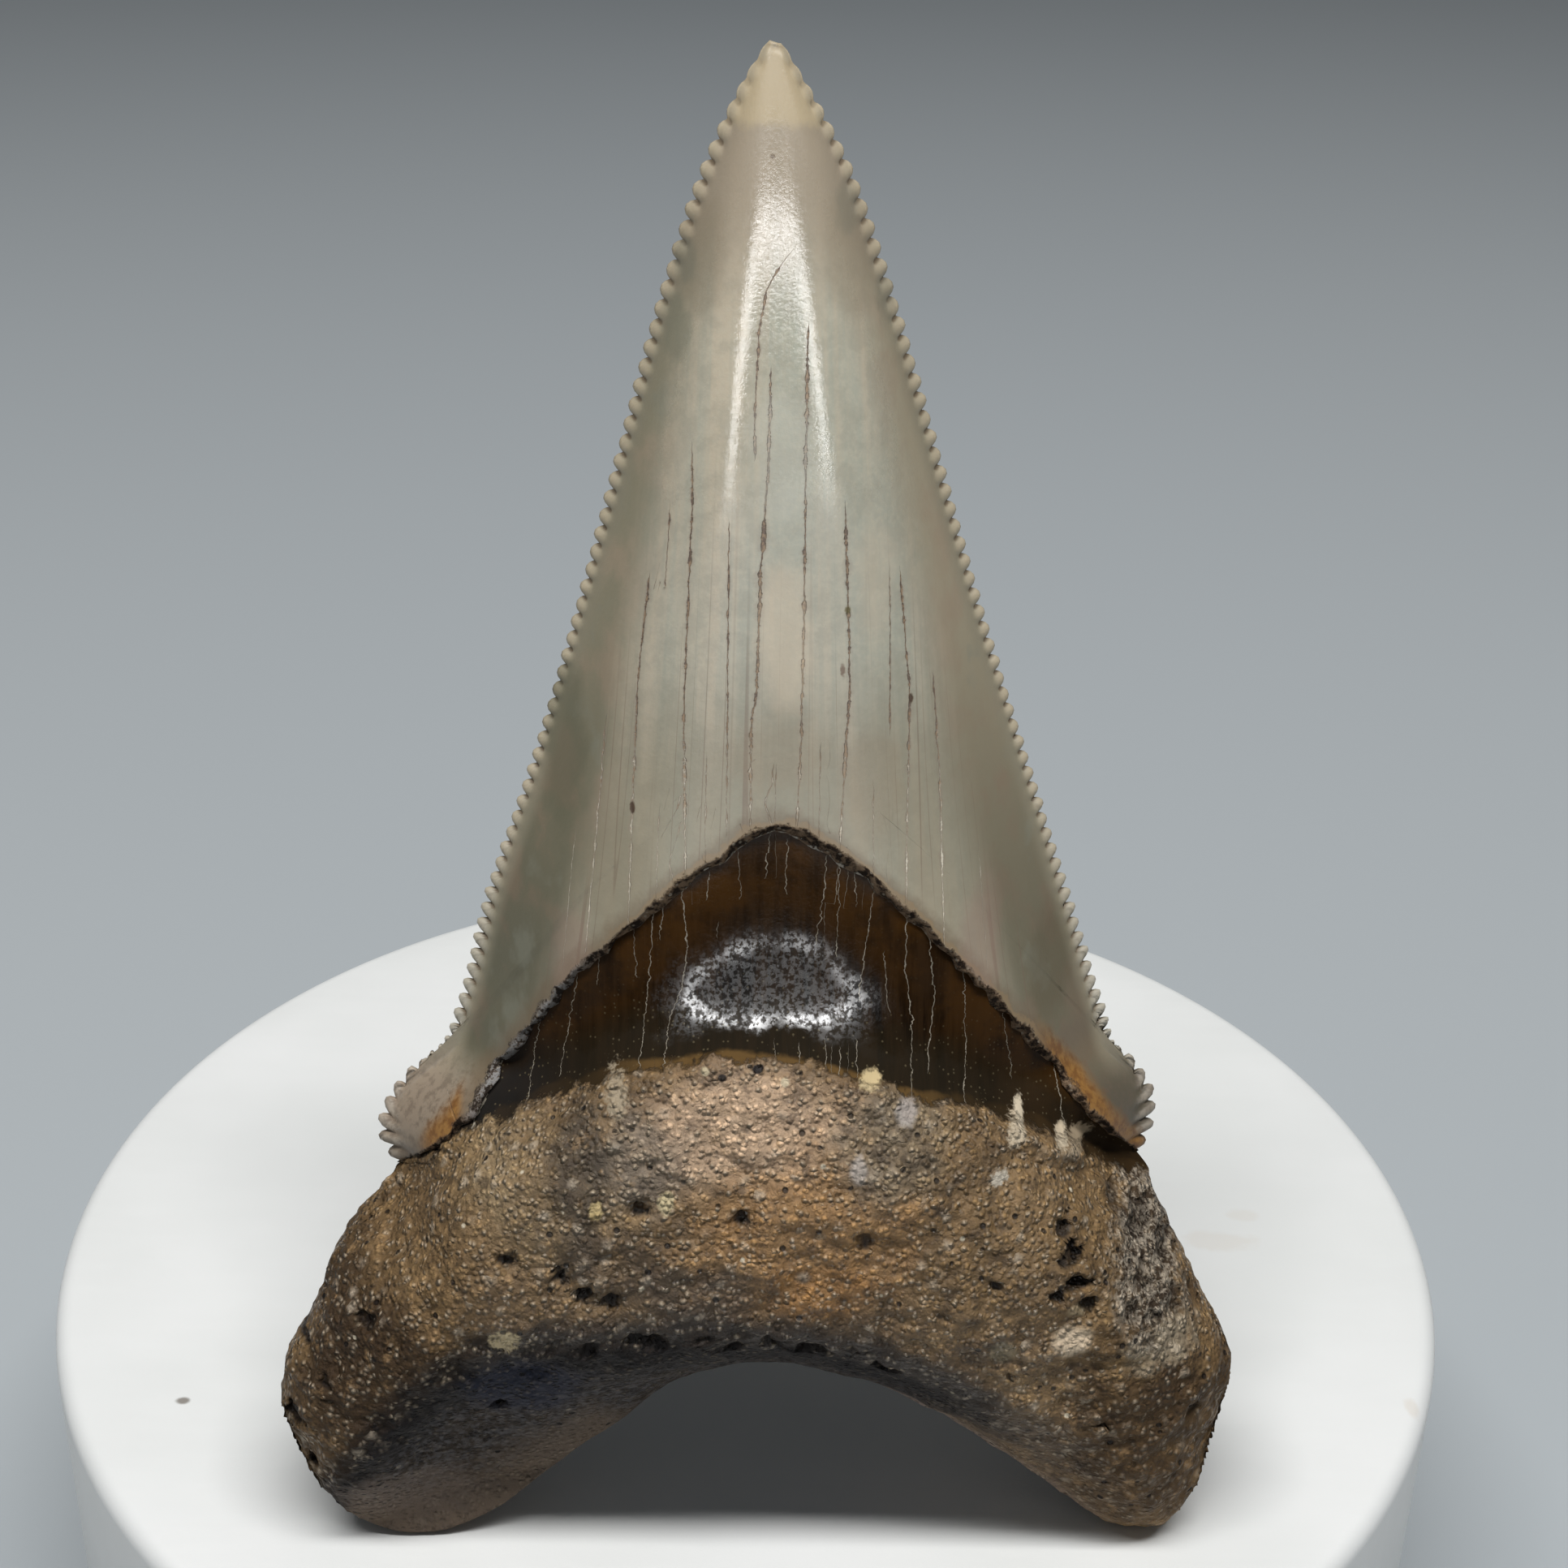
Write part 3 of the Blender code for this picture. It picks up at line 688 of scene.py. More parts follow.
def grid_sheet(name, points, numbers):
    """A grid primitive whose points are placed in tooth millimetres, with its numbers."""
    rows, columns = points.shape[:2]
    bpy.ops.object.select_all(action="DESELECT")
    bpy.ops.mesh.primitive_grid_add(x_subdivisions=columns - 1, y_subdivisions=rows - 1, size=1.0)
    sheet = bpy.context.object
    sheet.name = name
    mesh = sheet.data
    assert len(mesh.vertices) == rows * columns, (len(mesh.vertices), rows, columns)
    mesh.vertices.foreach_set("co", points.reshape(-1).astype(np.float32))
    for label, values in numbers.items():
        layer = mesh.attributes.new(label, "FLOAT", "POINT")
        layer.data.foreach_set("value", values.reshape(-1).astype(np.float32))
    return sheet


OPEN_END = {"crown": "first row", "root": "last row"}


def with_end_row(name, front, back):
    """The front face's rows, and the back face's row at the skin's open end."""
    if OPEN_END[name] == "first row":
        return np.concatenate([back[:1], front])
    return np.concatenate([front, back[-1:]])


def enclosed_volume(mesh):
    """Volume inside a closed skin, in the mesh's own units; below zero if it is inside out."""
    mesh.calc_loop_triangles()
    corners = np.empty(len(mesh.loop_triangles) * 3, dtype=np.int32)
    mesh.loop_triangles.foreach_get("vertices", corners)
    points = np.empty(len(mesh.vertices) * 3)
    mesh.vertices.foreach_get("co", points)
    a, b, c = points.reshape(-1, 3)[corners.reshape(-1, 3).T]
    return float((a * np.cross(b, c)).sum() / 6.0)


def close_skin(name, front, back, weld=0.0004):
    """One closed skin from the points and numbers of a front and a back face.

    The back takes its side points from the front. The front gets one row more at the
    open end, which lies on the back's row there and so closes the skin. Recalculated
    normals agree with each other but can still all point inwards on so thin a skin, so
    the volume decides: a skin that encloses less than nothing is turned round.
    """
    (front_points, front_numbers), (back_points, back_numbers) = front, back
    back_points[:, 0], back_points[:, -1] = front_points[:, 0], front_points[:, -1]
    front_points = with_end_row(name, front_points, back_points)
    front_numbers = {label: with_end_row(name, values, back_numbers[label])
                     for label, values in front_numbers.items()}
    back_sheet = grid_sheet(name + " back", back_points, back_numbers)
    front_sheet = grid_sheet(name + " front", front_points, front_numbers)
    back_sheet.select_set(True)
    bpy.ops.object.join()
    skin = front_sheet
    skin.name = skin.data.name = name
    bpy.ops.object.mode_set(mode="EDIT")
    bpy.ops.mesh.select_all(action="SELECT")
    bpy.ops.mesh.remove_doubles(threshold=weld)
    bpy.ops.mesh.normals_make_consistent(inside=False)
    bpy.ops.object.mode_set(mode="OBJECT")
    if enclosed_volume(skin.data) < 0.0:
        bpy.ops.object.mode_set(mode="EDIT")
        bpy.ops.mesh.select_all(action="SELECT")
        bpy.ops.mesh.flip_normals()
        bpy.ops.object.mode_set(mode="OBJECT")
    print(name, "volume:", round(enclosed_volume(skin.data), 1), "cubic mm")
    return skin


def sheet_y(z, out, front):
    """Depth coordinate of a face that stands out from the outline's sheet."""
    return spline(EDGE_PLANE_Y, z) + (-out if front else out)


def side_fractions(count, evenness=0.3):
    """Column positions, closer together towards both edges."""
    even = np.linspace(0.0, 1.0, count)
    eased = 0.5 - 0.5 * np.cos(np.pi * even)
    return evenness * even + (1.0 - evenness) * eased


# %% [markdown]
# ## Cracks as numbers on the mesh
#
# Old enamel dries and splits from the base upwards. Each crack is a short list of
# points. Every vertex stores how far it lies to the side of its nearest crack and how
# strong that crack is there. The finish then draws a line wherever the side distance
# passes zero, so a crack is as fine as it should be, whatever the mesh. The cracks are
# kept in two layers, a and b, so that close neighbours don't spoil each other's numbers.

# %% Cracks
ENAMEL_CRACKS = [
    (0.9, [(0.42, 54.2), (-0.41, 53.1), (-0.84, 52.3), (-1.11, 50.7), (-1.25, 47.9),
           (-1.24, 46.0)]),
    (1.5, [(-0.61, 49.8), (-0.70, 46.1), (-0.84, 43.9), (-0.99, 41.7), (-1.11, 36.9), (-1.30, 35.9),
           (-1.31, 31.6)]),
    (1.5, [(0.79, 51.5), (0.72, 46.1), (0.74, 41.0), (0.69, 36.9), (0.67, 34.9), (0.50, 31.4)]),
    (1.2, [(2.24, 44.8), (2.46, 40.3), (2.57, 36.9), (2.45, 35.2), (2.23, 30.6)]),
    (1.2, [(-3.64, 46.9), (-3.64, 44.1), (-3.82, 39.6), (-3.94, 36.7), (-3.87, 29.2)]),
    (0.6, [(-4.47, 44.6), (-4.69, 40.8)]),
    (1.0, [(-5.29, 41.7), (-5.78, 37.1), (-6.01, 32.1), (-6.16, 27.2)]),
    (0.7, [(-2.21, 44.2), (-2.25, 31.0)]),
    (0.5, [(4.05, 42.5), (4.15, 39.6), (4.2, 35.1)]),
    (1.0, [(4.50, 42.1), (4.80, 38.9), (5.01, 36.7), (4.98, 33.1), (4.91, 28.4)]),
    (0.9, [(5.95, 37.8), (6.14, 35.8), (6.34, 32.9), (6.53, 26.6)]),
    (0.7, [(-7.05, 35.9), (-7.45, 31.3), (-7.95, 25.8)]),
    (0.25, [(-8.3, 31.5), (-8.9, 25.0)]),
    (0.25, [(8.0, 31.0), (8.45, 25.0)]),
    (0.45, [(1.45, 35.5), (1.4, 31.0)]),
    (0.45, [(-3.05, 35.0), (-3.1, 30.2)]),
    (0.45, [(3.55, 34.0), (3.6, 29.4)]),
    (0.45, [(-0.3, 34.6), (-0.35, 31.8)]),
    (0.45, [(-4.9, 33.0), (-5.05, 28.4)]),
    (2.2, [(-14.0, 19.2), (-13.7, 18.6), (-13.1, 17.9)]),
]
BAND_CRACKS = [
    (0.8, [(-8.18, 25.3), (-9.04, 20.7)]), (0.6, [(-7.36, 26.3), (-7.46, 24.7)]),
    (0.7, [(-5.96, 27.6), (-5.85, 25.2)]), (0.9, [(-5.1, 28.3), (-5.67, 22.0)]),
    (0.7, [(-4.81, 28.8), (-4.87, 26.9)]),
    (1.0, [(-4.03, 29.5), (-3.79, 25.9), (-4.4, 23.9), (-4.72, 22.2)]),
    (0.8, [(-2.89, 30.1), (-3.05, 28.6)]), (0.5, [(-2.6, 27.9), (-2.56, 27.0)]),
    (0.7, [(-1.76, 30.9), (-1.69, 28.6)]), (0.8, [(-0.53, 31.6), (-0.68, 29.5)]),
    (0.8, [(0.19, 31.4), (0.13, 28.8)]), (0.9, [(1.75, 30.7), (1.63, 28.8), (1.34, 26.8)]),
    (0.8, [(2.28, 30.5), (2.19, 26.3)]), (0.7, [(2.8, 30.1), (2.97, 28.4)]),
    (0.8, [(3.67, 29.4), (3.3, 26.0), (3.13, 24.5)]), (0.6, [(4.05, 26.7), (4.35, 24.0)]),
    (1.0, [(4.98, 28.3), (4.97, 25.8), (5.32, 23.2), (5.2, 20.9)]),
    (1.0, [(5.9, 27.3), (6.23, 24.5), (5.92, 21.6)]),
    (0.9, [(7.37, 25.9), (7.6, 22.2), (7.47, 19.9)]), (0.8, [(9.16, 23.7), (9.69, 20.4)]),
    (1.3, [(11.57, 20.8), (12.04, 18.0)]), (0.6, [(-3.2, 22.8), (-3.26, 22.0)]),
    (0.5, [(-0.29, 23.5), (-0.29, 22.4)]), (0.6, [(0.68, 23.3), (0.68, 22.4)]),
    (0.6, [(1.72, 23.5), (1.72, 22.0)]), (0.7, [(2.34, 23.1), (2.33, 21.7)]),
    (0.6, [(3.0, 23.4), (2.99, 21.9)]), (0.8, [(-9.8, 23.2), (-10.43, 19.4)]),
    (1.6, [(-10.83, 21.8), (-13.14, 17.4)]),
]
CRACK_REACH = 0.55


def crack_numbers(x, z, cracks, end_fade=1.4):
    """Side distance from the nearest crack, and its strength, at each point."""
    side = np.full(x.shape, 9.0)
    near = np.zeros(x.shape)
    for strength, points in cracks:
        heights = np.array([p[1] for p in points])[::-1]
        places = np.array([p[0] for p in points])[::-1]
        gap = x - np.interp(z, heights, places)
        span = heights[-1] - heights[0]
        ends = min(end_fade, 0.45 * span)
        along = (smoothstep(heights[0] - 0.1, heights[0] + 0.25 * ends, z)
                 * (1.0 - smoothstep(heights[-1] - ends, heights[-1], z)))
        closer = (np.abs(gap) < np.abs(side)) & (along > 0.0)
        side = np.where(closer, gap, side)
        weight = strength * along * np.clip(1.0 - np.abs(gap) / CRACK_REACH, 0.0, 1.0)
        near = np.where(closer, weight, near)
    return side, near


def crack_layers(x, z, cracks, end_fade=1.4):
    """The numbers of two layers of cracks. Neighbours are in different layers."""
    ordered = sorted(cracks, key=lambda crack: crack[1][-1][0])
    layers = {}
    for name, layer in (("a", ordered[0::2]), ("b", ordered[1::2])):
        layers["side_" + name], layers["near_" + name] = crack_numbers(x, z, layer, end_fade)
    return layers


print("cracks:", len(ENAMEL_CRACKS), "in the enamel and", len(BAND_CRACKS), "in the band")

# %% [markdown]
# ## The crown
#
# Each cutting edge carries about sixty serrations: round knobs on slender necks, worn
# small near the tip, longer and pointed near the root, and coarser on the two cusplets.
# They could be modelled one by one, but on a real tooth they are folds of the same
# enamel. So the edge of the sheet itself is pushed out and drawn in: each row of points
# slides along the edge towards the middle of its knob, which narrows the notch between.

# %% Serrations
SERRATIONS = 61                # along each side of the main cusp
CUSPLET_SERRATIONS = 6         # along each cusplet
CUSPLET_PITCH = 1.05           # every pitch is a share of the usual one
LOW_PITCHES = [0.62, 0.66, 0.7, 0.76, 0.84, 0.92]
UPPER_PITCHES = (0.9, 1.1)     # from the low serrations up to the tip
STEPS_PER_SERRATION = 7
KNOB_REACH = 0.30
KNOB_REACH_LOW = 0.46
KNOB_NECK = 0.125
KNOB_TILT = 0.35
KNOB_THICK = 0.17
RIDGE_RUN = 0.95
KNOB_SLANT = 0.45
KNOB_SEED = 7


def serration_rows(steps):
    """Rows of the crown as fractions of its edge, and the serration each row is in."""
    pitches = [CUSPLET_PITCH] * CUSPLET_SERRATIONS + LOW_PITCHES
    pitches += np.linspace(*UPPER_PITCHES, SERRATIONS - len(LOW_PITCHES)).tolist()
    ends = np.concatenate([[0.0], np.cumsum(pitches)])
    phase = np.linspace(0.0, len(pitches), len(pitches) * steps + 1)
    return np.interp(phase, np.arange(len(ends)), ends) / ends[-1], phase


def serrate(grid, phase):
    """The grid with its edges in knobs, how much each point stands out, and knob masks."""
    moved = grid.copy()
    relief = np.zeros(grid.shape[:2])
    knob_mask = np.zeros(grid.shape[:2])
    notch_mask = np.zeros(grid.shape[:2])
    count = int(round(phase[-1]))
    dice = np.random.default_rng(KNOB_SEED)
    index = np.clip(phase.astype(int), 0, count - 1)
    for side, edge in ((-1.0, 0), (1.0, -1)):
        line = grid[:, edge]
        along = np.gradient(line, axis=0)
        step = np.linalg.norm(along, axis=1, keepdims=True)
        along = along / step
        outward = np.stack([along[:, 1] * side, -along[:, 0] * side], axis=1)
        uneven = (1.0 + 0.2 * dice.uniform(-1.0, 1.0, count))[index]
        low = smoothstep(36.0, 20.0, line[:, 1])
        worn = smoothstep(0.3, 5.0, grid[-1, edge, 1] - line[:, 1])
        reach = (KNOB_REACH + (KNOB_REACH_LOW - KNOB_REACH) * low) * uneven * (0.25 + 0.75 * worn)
        run = (RIDGE_RUN * (1.0 + 0.7 * low))[:, None]
        offset = grid - line[:, None]
        gap = np.linalg.norm(offset, axis=2)
        pitch = step[:, 0] * STEPS_PER_SERRATION
        climb = np.sum(offset * along[:, None],
                       axis=2) - KNOB_SLANT * np.sum(offset * outward[:, None], axis=2)
        turn = 2.0 * np.pi * (phase[:, None] + climb / pitch[:, None])
        knob = 0.5 - 0.5 * np.cos(turn)
        close = 1.0 - smoothstep(0.0, 1.0, gap / (0.75 * run))
        moved += outward[:, None] * (reach[:, None] * (knob - 0.5) * close)[..., None]
        slide = -KNOB_NECK * np.sin(turn) * (pitch * (0.3 + 0.7 * worn))[:, None]
        slide += KNOB_TILT * (low * reach)[:, None] * knob
        moved += along[:, None] * (slide * close)[..., None]
        ball = np.sqrt(np.clip(gap / 0.26, 0.0, 1.0)) * (1.0 - 0.75 * smoothstep(0.3, 0.75, gap))
        ball *= 1.0 - smoothstep(0.6, 1.0, gap / run)
        groove = 0.4 * (1.0 - knob) * smoothstep(0.0, 0.2,
                                                 gap) * (1.0 - smoothstep(0.4, 0.9, gap / run))
        size = (uneven * (0.35 + 0.65 * worn) * (1.0 + 0.4 * low))[:, None]
        relief += KNOB_THICK * size * (ball * knob ** 0.8 - groove)
        knob_mask = np.maximum(knob_mask, knob * (1.0 - smoothstep(0.25, 0.8, gap / run)))
        notch_mask = np.maximum(notch_mask, (1.0 - knob) * (1.0 - smoothstep(0.25, 0.8, gap / run)))
    return moved, relief, knob_mask, notch_mask


print("serrations along each edge:", SERRATIONS + CUSPLET_SERRATIONS)

# %% [markdown]
# The crown's lower rim stands proud of the band like broken glaze. Its sheet goes on
# past the enamel line for half a millimetre, sinking as it goes, with a ragged edge,
# and then turns inwards out of sight.

# %% Crown mesh
CROWN_COLUMNS = 103
RIM_ROWS = 7
RIM_WIDTH = 0.62
RIM_ON_LEGS = 0.62
RIM_APEX_REACH = 6.0
RIM_DROP = 0.62
TUCK_DEPTH = 1.0
EDGE_WEDGE = 0.35
RAGGED = 0.20


def downhill(line):
    """Unit vectors in the plane that point from an enamel line towards the root."""
    along = np.gradient(line, axis=0)
    along /= np.linalg.norm(along, axis=1, keepdims=True)
    return np.stack([along[:, 1], -along[:, 0]], axis=1)


def crown_sheet(front):
    """One face of the crown with its numbers, rows from the hidden tuck to the tip."""
    columns = side_fractions(CROWN_COLUMNS)
    rows, phase = serration_rows(STEPS_PER_SERRATION)
    enamel = path(CHEVRON_FRONT if front else CHEVRON_BACK, columns)
    tip = path([(CROWN_LEFT[-1][1], CROWN_LEFT[-1][0]), (CROWN_RIGHT[-1][1], CROWN_RIGHT[-1][0])],
               columns)
    crown = filled(enamel, tip, side_path(CROWN_LEFT, rows), side_path(CROWN_RIGHT, rows))
    crown, relief, knob, notch = serrate(crown, phase)

    taper = smoothstep(0.0, 0.08, columns) * smoothstep(1.0, 0.92, columns)
    leg = RIM_ON_LEGS + (1.0 - RIM_ON_LEGS) * np.exp(-(enamel[:, 0] / RIM_APEX_REACH) ** 2)
    width = RIM_WIDTH * leg * (0.12 + 0.88 * taper) * (1.0 if front else 0.5)
    down = downhill(enamel)
    share = np.linspace(1.0, 1.0 / RIM_ROWS, RIM_ROWS)
    rim = enamel[None] + down[None] * (width[None, :] * share[:, None])[..., None]
    tuck = enamel + down * (width * 0.45)[:, None]
    plane = np.concatenate([tuck[None], rim, crown])

    rim_gap = np.concatenate([-share[:1], -share, np.zeros(len(crown))])[:, None] * width[None, :]
    rise = np.linalg.norm(crown - enamel[None], axis=2)
    rim_gap[RIM_ROWS + 1:] = rise
    shaken = (RAGGED * (noise_at(plane, 0.75, 3.1) + 0.6 * noise_at(plane, 0.3,
                                                                    5.7)) * taper[None, :]
              * (1.0 - smoothstep(0.2, 1.2, np.abs(rim_gap) * (rim_gap > 0.0))))
    plane = plane + down[None] * shaken[..., None]

    x, z = plane[..., 0], plane[..., 1]
    out = face_depth(x, z, front)
    body = np.minimum(1.0, out / 2.0)
    sunk = np.clip(-rim_gap / np.maximum(width[None, :], 0.05), 0.0, 1.0)
    flakes = 0.10 * noise_at(plane, 0.28, 9.3) * smoothstep(0.0, 0.3, sunk)
    out -= body * (RIM_DROP * sunk ** 1.2 - flakes)
    out[0] -= TUCK_DEPTH * body[0]
    out[RIM_ROWS + 1:] += relief
    inside = np.minimum(np.abs(x - x[:, :1]), np.abs(x - x[:, -1:]))
    wedge = np.minimum(EDGE_WEDGE * inside, EDGE_WEDGE)
    out = np.maximum(out, np.where(np.arange(len(out))[:, None] <= RIM_ROWS, 0.4 * wedge, wedge))
    out[-1], out[:, 0], out[:, -1] = 0.0, 0.0, 0.0

    layers = crack_layers(x, z, ENAMEL_CRACKS)
    if not front:
        layers = crack_layers(-x, z, ENAMEL_CRACKS[1::2])
    blank = np.zeros((RIM_ROWS + 1, CROWN_COLUMNS))
    numbers = {
        "edge_gap": np.minimum(distance_to(x, z, CROWN_OUTLINE), 9.0),
        "rim_gap": rim_gap, **layers,
        "knob": np.concatenate([blank, knob]), "notch": np.concatenate([blank, notch])}
    points = np.stack([x, sheet_y(z, out, front), z], axis=-1)
    return points, numbers


crown = close_skin("crown", crown_sheet(True), crown_sheet(False))
own_tip = max(v.co.z * math.cos(TOOTH_LEAN) - v.co.y * math.sin(TOOTH_LEAN)
              for v in crown.data.vertices)
TOOTH_SEAT = TIP_HEIGHT / MM - own_tip
print("crown:", len(crown.data.vertices), "points; the tooth's zero is", round(TOOTH_SEAT, 2),
      "mm up")

# %% [markdown]
# ## The root and its band
#
# The root is bone: lumpy, granular and full of pores, with deeper cavities where it has
# rotted and a fold where its face turns under towards the arch. The band above it is
# smooth and sinks under the enamel. Large forms and single pits come from formulas. The
# all-over grain comes from Displace modifiers with procedural textures, limited to the
# bone by a vertex group, and then applied.

# %% Root mesh
ROOT_COLUMNS = 201
ROOT_ROWS = 150
BAND_ROWS = 62
TUCK_ROWS = 6
TUCK_RISE = 1.2
BAND_SINK = 0.42
LUMP_HEIGHT = 0.38
LUMP_SIZE = 3.6
SETTLE = 0.2
SMOOTH_UNDERSIDE = 0.75
FURROW_DEPTH = 0.40
BONE_RISE = [(-16.0, 0.5), (-13.0, 0.8), (-11.2, 0.67), (-8.4, 0.63), (-4.7, 0.6), (-2.7, 0.6),
             (-1.0, 0.38),
             (0.8, 0.33), (4.3, 0.42), (5.5, 0.6), (7.4, 1.12), (9.5,
                                                                 1.23), (11.5, 1.27), (13.5, 0.6),
             (15.0, 0.0), (16.2, 0.0)]
ROOT_PITS = [
    (15.4, 13.9, 0.8, 0.6), (16.4, 12.6, 0.7, 0.6), (15.2, 12.2, 0.6, 0.5), (16.6, 10.9, 0.7, 0.4),
    (14.6, 11.2, 0.6, 0.4), (15.6, 10.8, 0.5, 0.4), (11.6, 15.2, 0.5, 0.8), (11.9, 14.2, 0.55, 0.9),
    (12.2, 13.0, 0.6, 1.0), (12.6, 12.1, 0.45, 0.7), (11.3, 12.7, 0.4, 0.5), (-1.6, 16.5, 0.5, 0.5),
    (3.3, 15.6, 0.45, 0.4), (-5.6, 16.9, 0.55, 0.35), (-14.4, 17.0, 0.4,
                                                       0.6), (-15.3, 16.3, 0.35, 0.5),
    (-17.0, 10.6, 0.6, 0.4), (-18.9, 7.4, 0.5, 0.4), (-11.0, 14.3, 0.5, 0.4), (8.7, 13.4, 0.4, 0.4),
    (17.7, 6.1, 0.5, 0.4), (-11.6, 6.9, 0.35, 0.5), (0.9, 13.2, 0.35, 0.35), (6.4, 12.2, 0.35, 0.3),
    (14.2, 15.0, 0.4, 0.5), (9.5, 9.0, 0.3, 0.3), (-20.4, 5.5, 0.6, 0.8), (-19.8, 3.2, 0.5, 0.7),
    (-20.2, 8.6, 0.5, 0.5), (13.6, 6.2, 0.4, 0.35), (-8.8, 13.8, 0.5, 0.5), (-7.9, 13.2, 0.55, 0.6),
    (-6.9, 12.8, 0.45, 0.5),
]


def root_relief(plane, below, front):
    """Lumps, pits and the fold of the bone, and how deep each point lies in a pit."""
    x, z = plane[..., 0], plane[..., 1]
    spots = np.stack([x, np.full(x.shape, -9.0 if front else 9.0), z], axis=-1)
    raised = LUMP_HEIGHT * (noise_at(spots, LUMP_SIZE) + 0.45 * noise_at(spots, LUMP_SIZE / 2.3))
    raised += 0.10 * noise_at(spots, 0.8, 2.2)
    pit = np.zeros(x.shape)
    if front:
        rotten = 0.75 * noise_at(spots, 0.42, 4.4)
        for px, pz, radius, depth in ROOT_PITS:
            away = np.hypot(x - px, z - pz) / radius + rotten
            pit = np.maximum(pit, depth * (1.0 - smoothstep(0.25, 1.05, away)))
    under = spline(FOLD, x) - z
    if front:
        ragged = under + 0.75 * noise_at(spots, 0.8, 6.1) - 0.2
        torn = (1.0 - smoothstep(0.1, 0.5, np.abs(ragged))) * smoothstep(-10.5, -7.5, x)
        torn *= smoothstep(6.5, 3.5, x) * smoothstep(-0.35, 0.25, noise_at(spots, 1.1, 9.3))
        pit = np.maximum(pit, FURROW_DEPTH * torn)
    bone = smoothstep(-0.1, 0.5, below + 0.35 * noise_at(plane, 0.9, 1.7)
                      + 0.12 * noise_at(plane, 0.25, 7.7))
    return raised * bone, pit * bone, under, bone


def root_sheet(front):
    """One face of the root and band with its numbers, rows from the foot upwards."""
    columns = side_fractions(ROOT_COLUMNS, 0.6)
    root_line, chevron = ((ROOT_LINE_FRONT, CHEVRON_FRONT) if front
                          else (ROOT_LINE_BACK, CHEVRON_BACK))
    foot = path(ROOT_FOOT, columns)
    shoulder = path(root_line, columns)
    enamel = path(chevron, columns)
    rows = np.linspace(0.0, 1.0, ROOT_ROWS) ** 1.15
    root = filled(foot, shoulder, side_path(ROOT_LEFT, rows), side_path(ROOT_RIGHT, rows))
    rows = np.linspace(0.0, 1.0, BAND_ROWS)
    band = filled(shoulder, enamel, path([root_line[0], chevron[0]], rows),
                  path([root_line[-1], chevron[-1]], rows))
    taper = smoothstep(0.0, 0.10, columns) * smoothstep(1.0, 0.90, columns)
    lift = (TUCK_RISE * (0.08 + 0.92 * taper))[None, :] * np.linspace(0.0, 1.0, TUCK_ROWS)[:, None]
    tuck = enamel[None] - downhill(enamel)[None] * lift[..., None]
    plane = np.concatenate([root, band[1:-1], tuck])

    x, z = plane[..., 0], plane[..., 1]
    below = spline(root_line, x) - z
    if front:
        below += spline(BONE_RISE, x)
    rim_gap = spline(chevron, x) - z
    out = face_depth(x, z, front)
    raised, pit, under, bone = root_relief(plane, below, front)
    skin = np.minimum(1.0, out / 1.5)
    out += (raised - pit) * skin
    sunk = BAND_SINK * (1.0 - bone)
    if front:
        sunk += band_hollow(x, z) * (1.0 - bone)
    out -= sunk * np.minimum(1.0, out / 2.0)
    inside = np.minimum(np.abs(x - x[:, :1]), np.abs(x - x[:, -1:]))
    out = np.maximum(out, np.minimum(0.3 * inside, 0.2))
    out[0], out[:, 0], out[:, -1] = 0.0, 0.0, 0.0

    z = z - SETTLE * smoothstep(2.6, 0.2, z)
    layers = crack_layers(x, plane[..., 1], BAND_CRACKS, 0.5)
    flip = 1.0 if front else 0.0
    numbers = {
        "rim_gap": rim_gap, "shoulder_gap": below, "bone": bone, "pit": pit,
        "under_fold": np.clip(under, -9.0, 9.0), "side_a": layers["side_a"],
        "side_b": layers["side_b"], "near_a": layers["near_a"] * flip,
        "near_b": layers["near_b"] * flip,
        "edge_gap": np.minimum(distance_to(x, plane[..., 1], ROOT_OUTLINE), 9.0)}
    points = np.stack([x, sheet_y(plane[..., 1], out, front), z], axis=-1)
    return points, numbers


def rough_group(obj):
    """A vertex group that holds how rough each point is: bone, but not its smooth underside."""
    bone = np.zeros(len(obj.data.vertices), dtype=np.float32)
    under = np.zeros(len(obj.data.vertices), dtype=np.float32)
    obj.data.attributes["bone"].data.foreach_get("value", bone)
    obj.data.attributes["under_fold"].data.foreach_get("value", under)
    weights = bone * (1.0 - SMOOTH_UNDERSIDE * smoothstep(0.2, 3.2, under))
    group = obj.vertex_groups.new(name="rough")
    for level in range(1, 11):
        chosen = np.nonzero(np.round(weights * 10.0) == level)[0]
        group.add(chosen.tolist(), level / 10.0, "REPLACE")
    return group.name


def displace(obj, name, kind, size, strength, group, **settings):
    """Push points in and out along their normals with a procedural texture, and apply."""
    texture = bpy.data.textures.new(name, kind)
    texture.noise_scale = size
    for key, value in settings.items():
        setattr(texture, key, value)
    push = obj.modifiers.new(name, "DISPLACE")
    push.texture = texture
    push.texture_coords = "LOCAL"
    push.strength = strength
    push.mid_level = 0.5
    push.vertex_group = group
    bpy.context.view_layer.objects.active = obj
    bpy.ops.object.modifier_apply(modifier=name)


root = close_skin("root", root_sheet(True), root_sheet(False))
rough_name = rough_group(root)
displace(root, "bone lumps", "CLOUDS", 1.3, 0.50, rough_name, noise_depth=3)
displace(root, "bone crumbs", "VORONOI", 0.55, 0.16, rough_name)
print("root:", len(root.data.vertices), "points")

# %% [markdown]
# ## Standing the tooth up
#
# The tooth leans back by 12 degrees and is turned a little. The turn is applied to the
# mesh, so that the finished piece's object sits at the origin, as a CAD node's does.

# %% Stand up


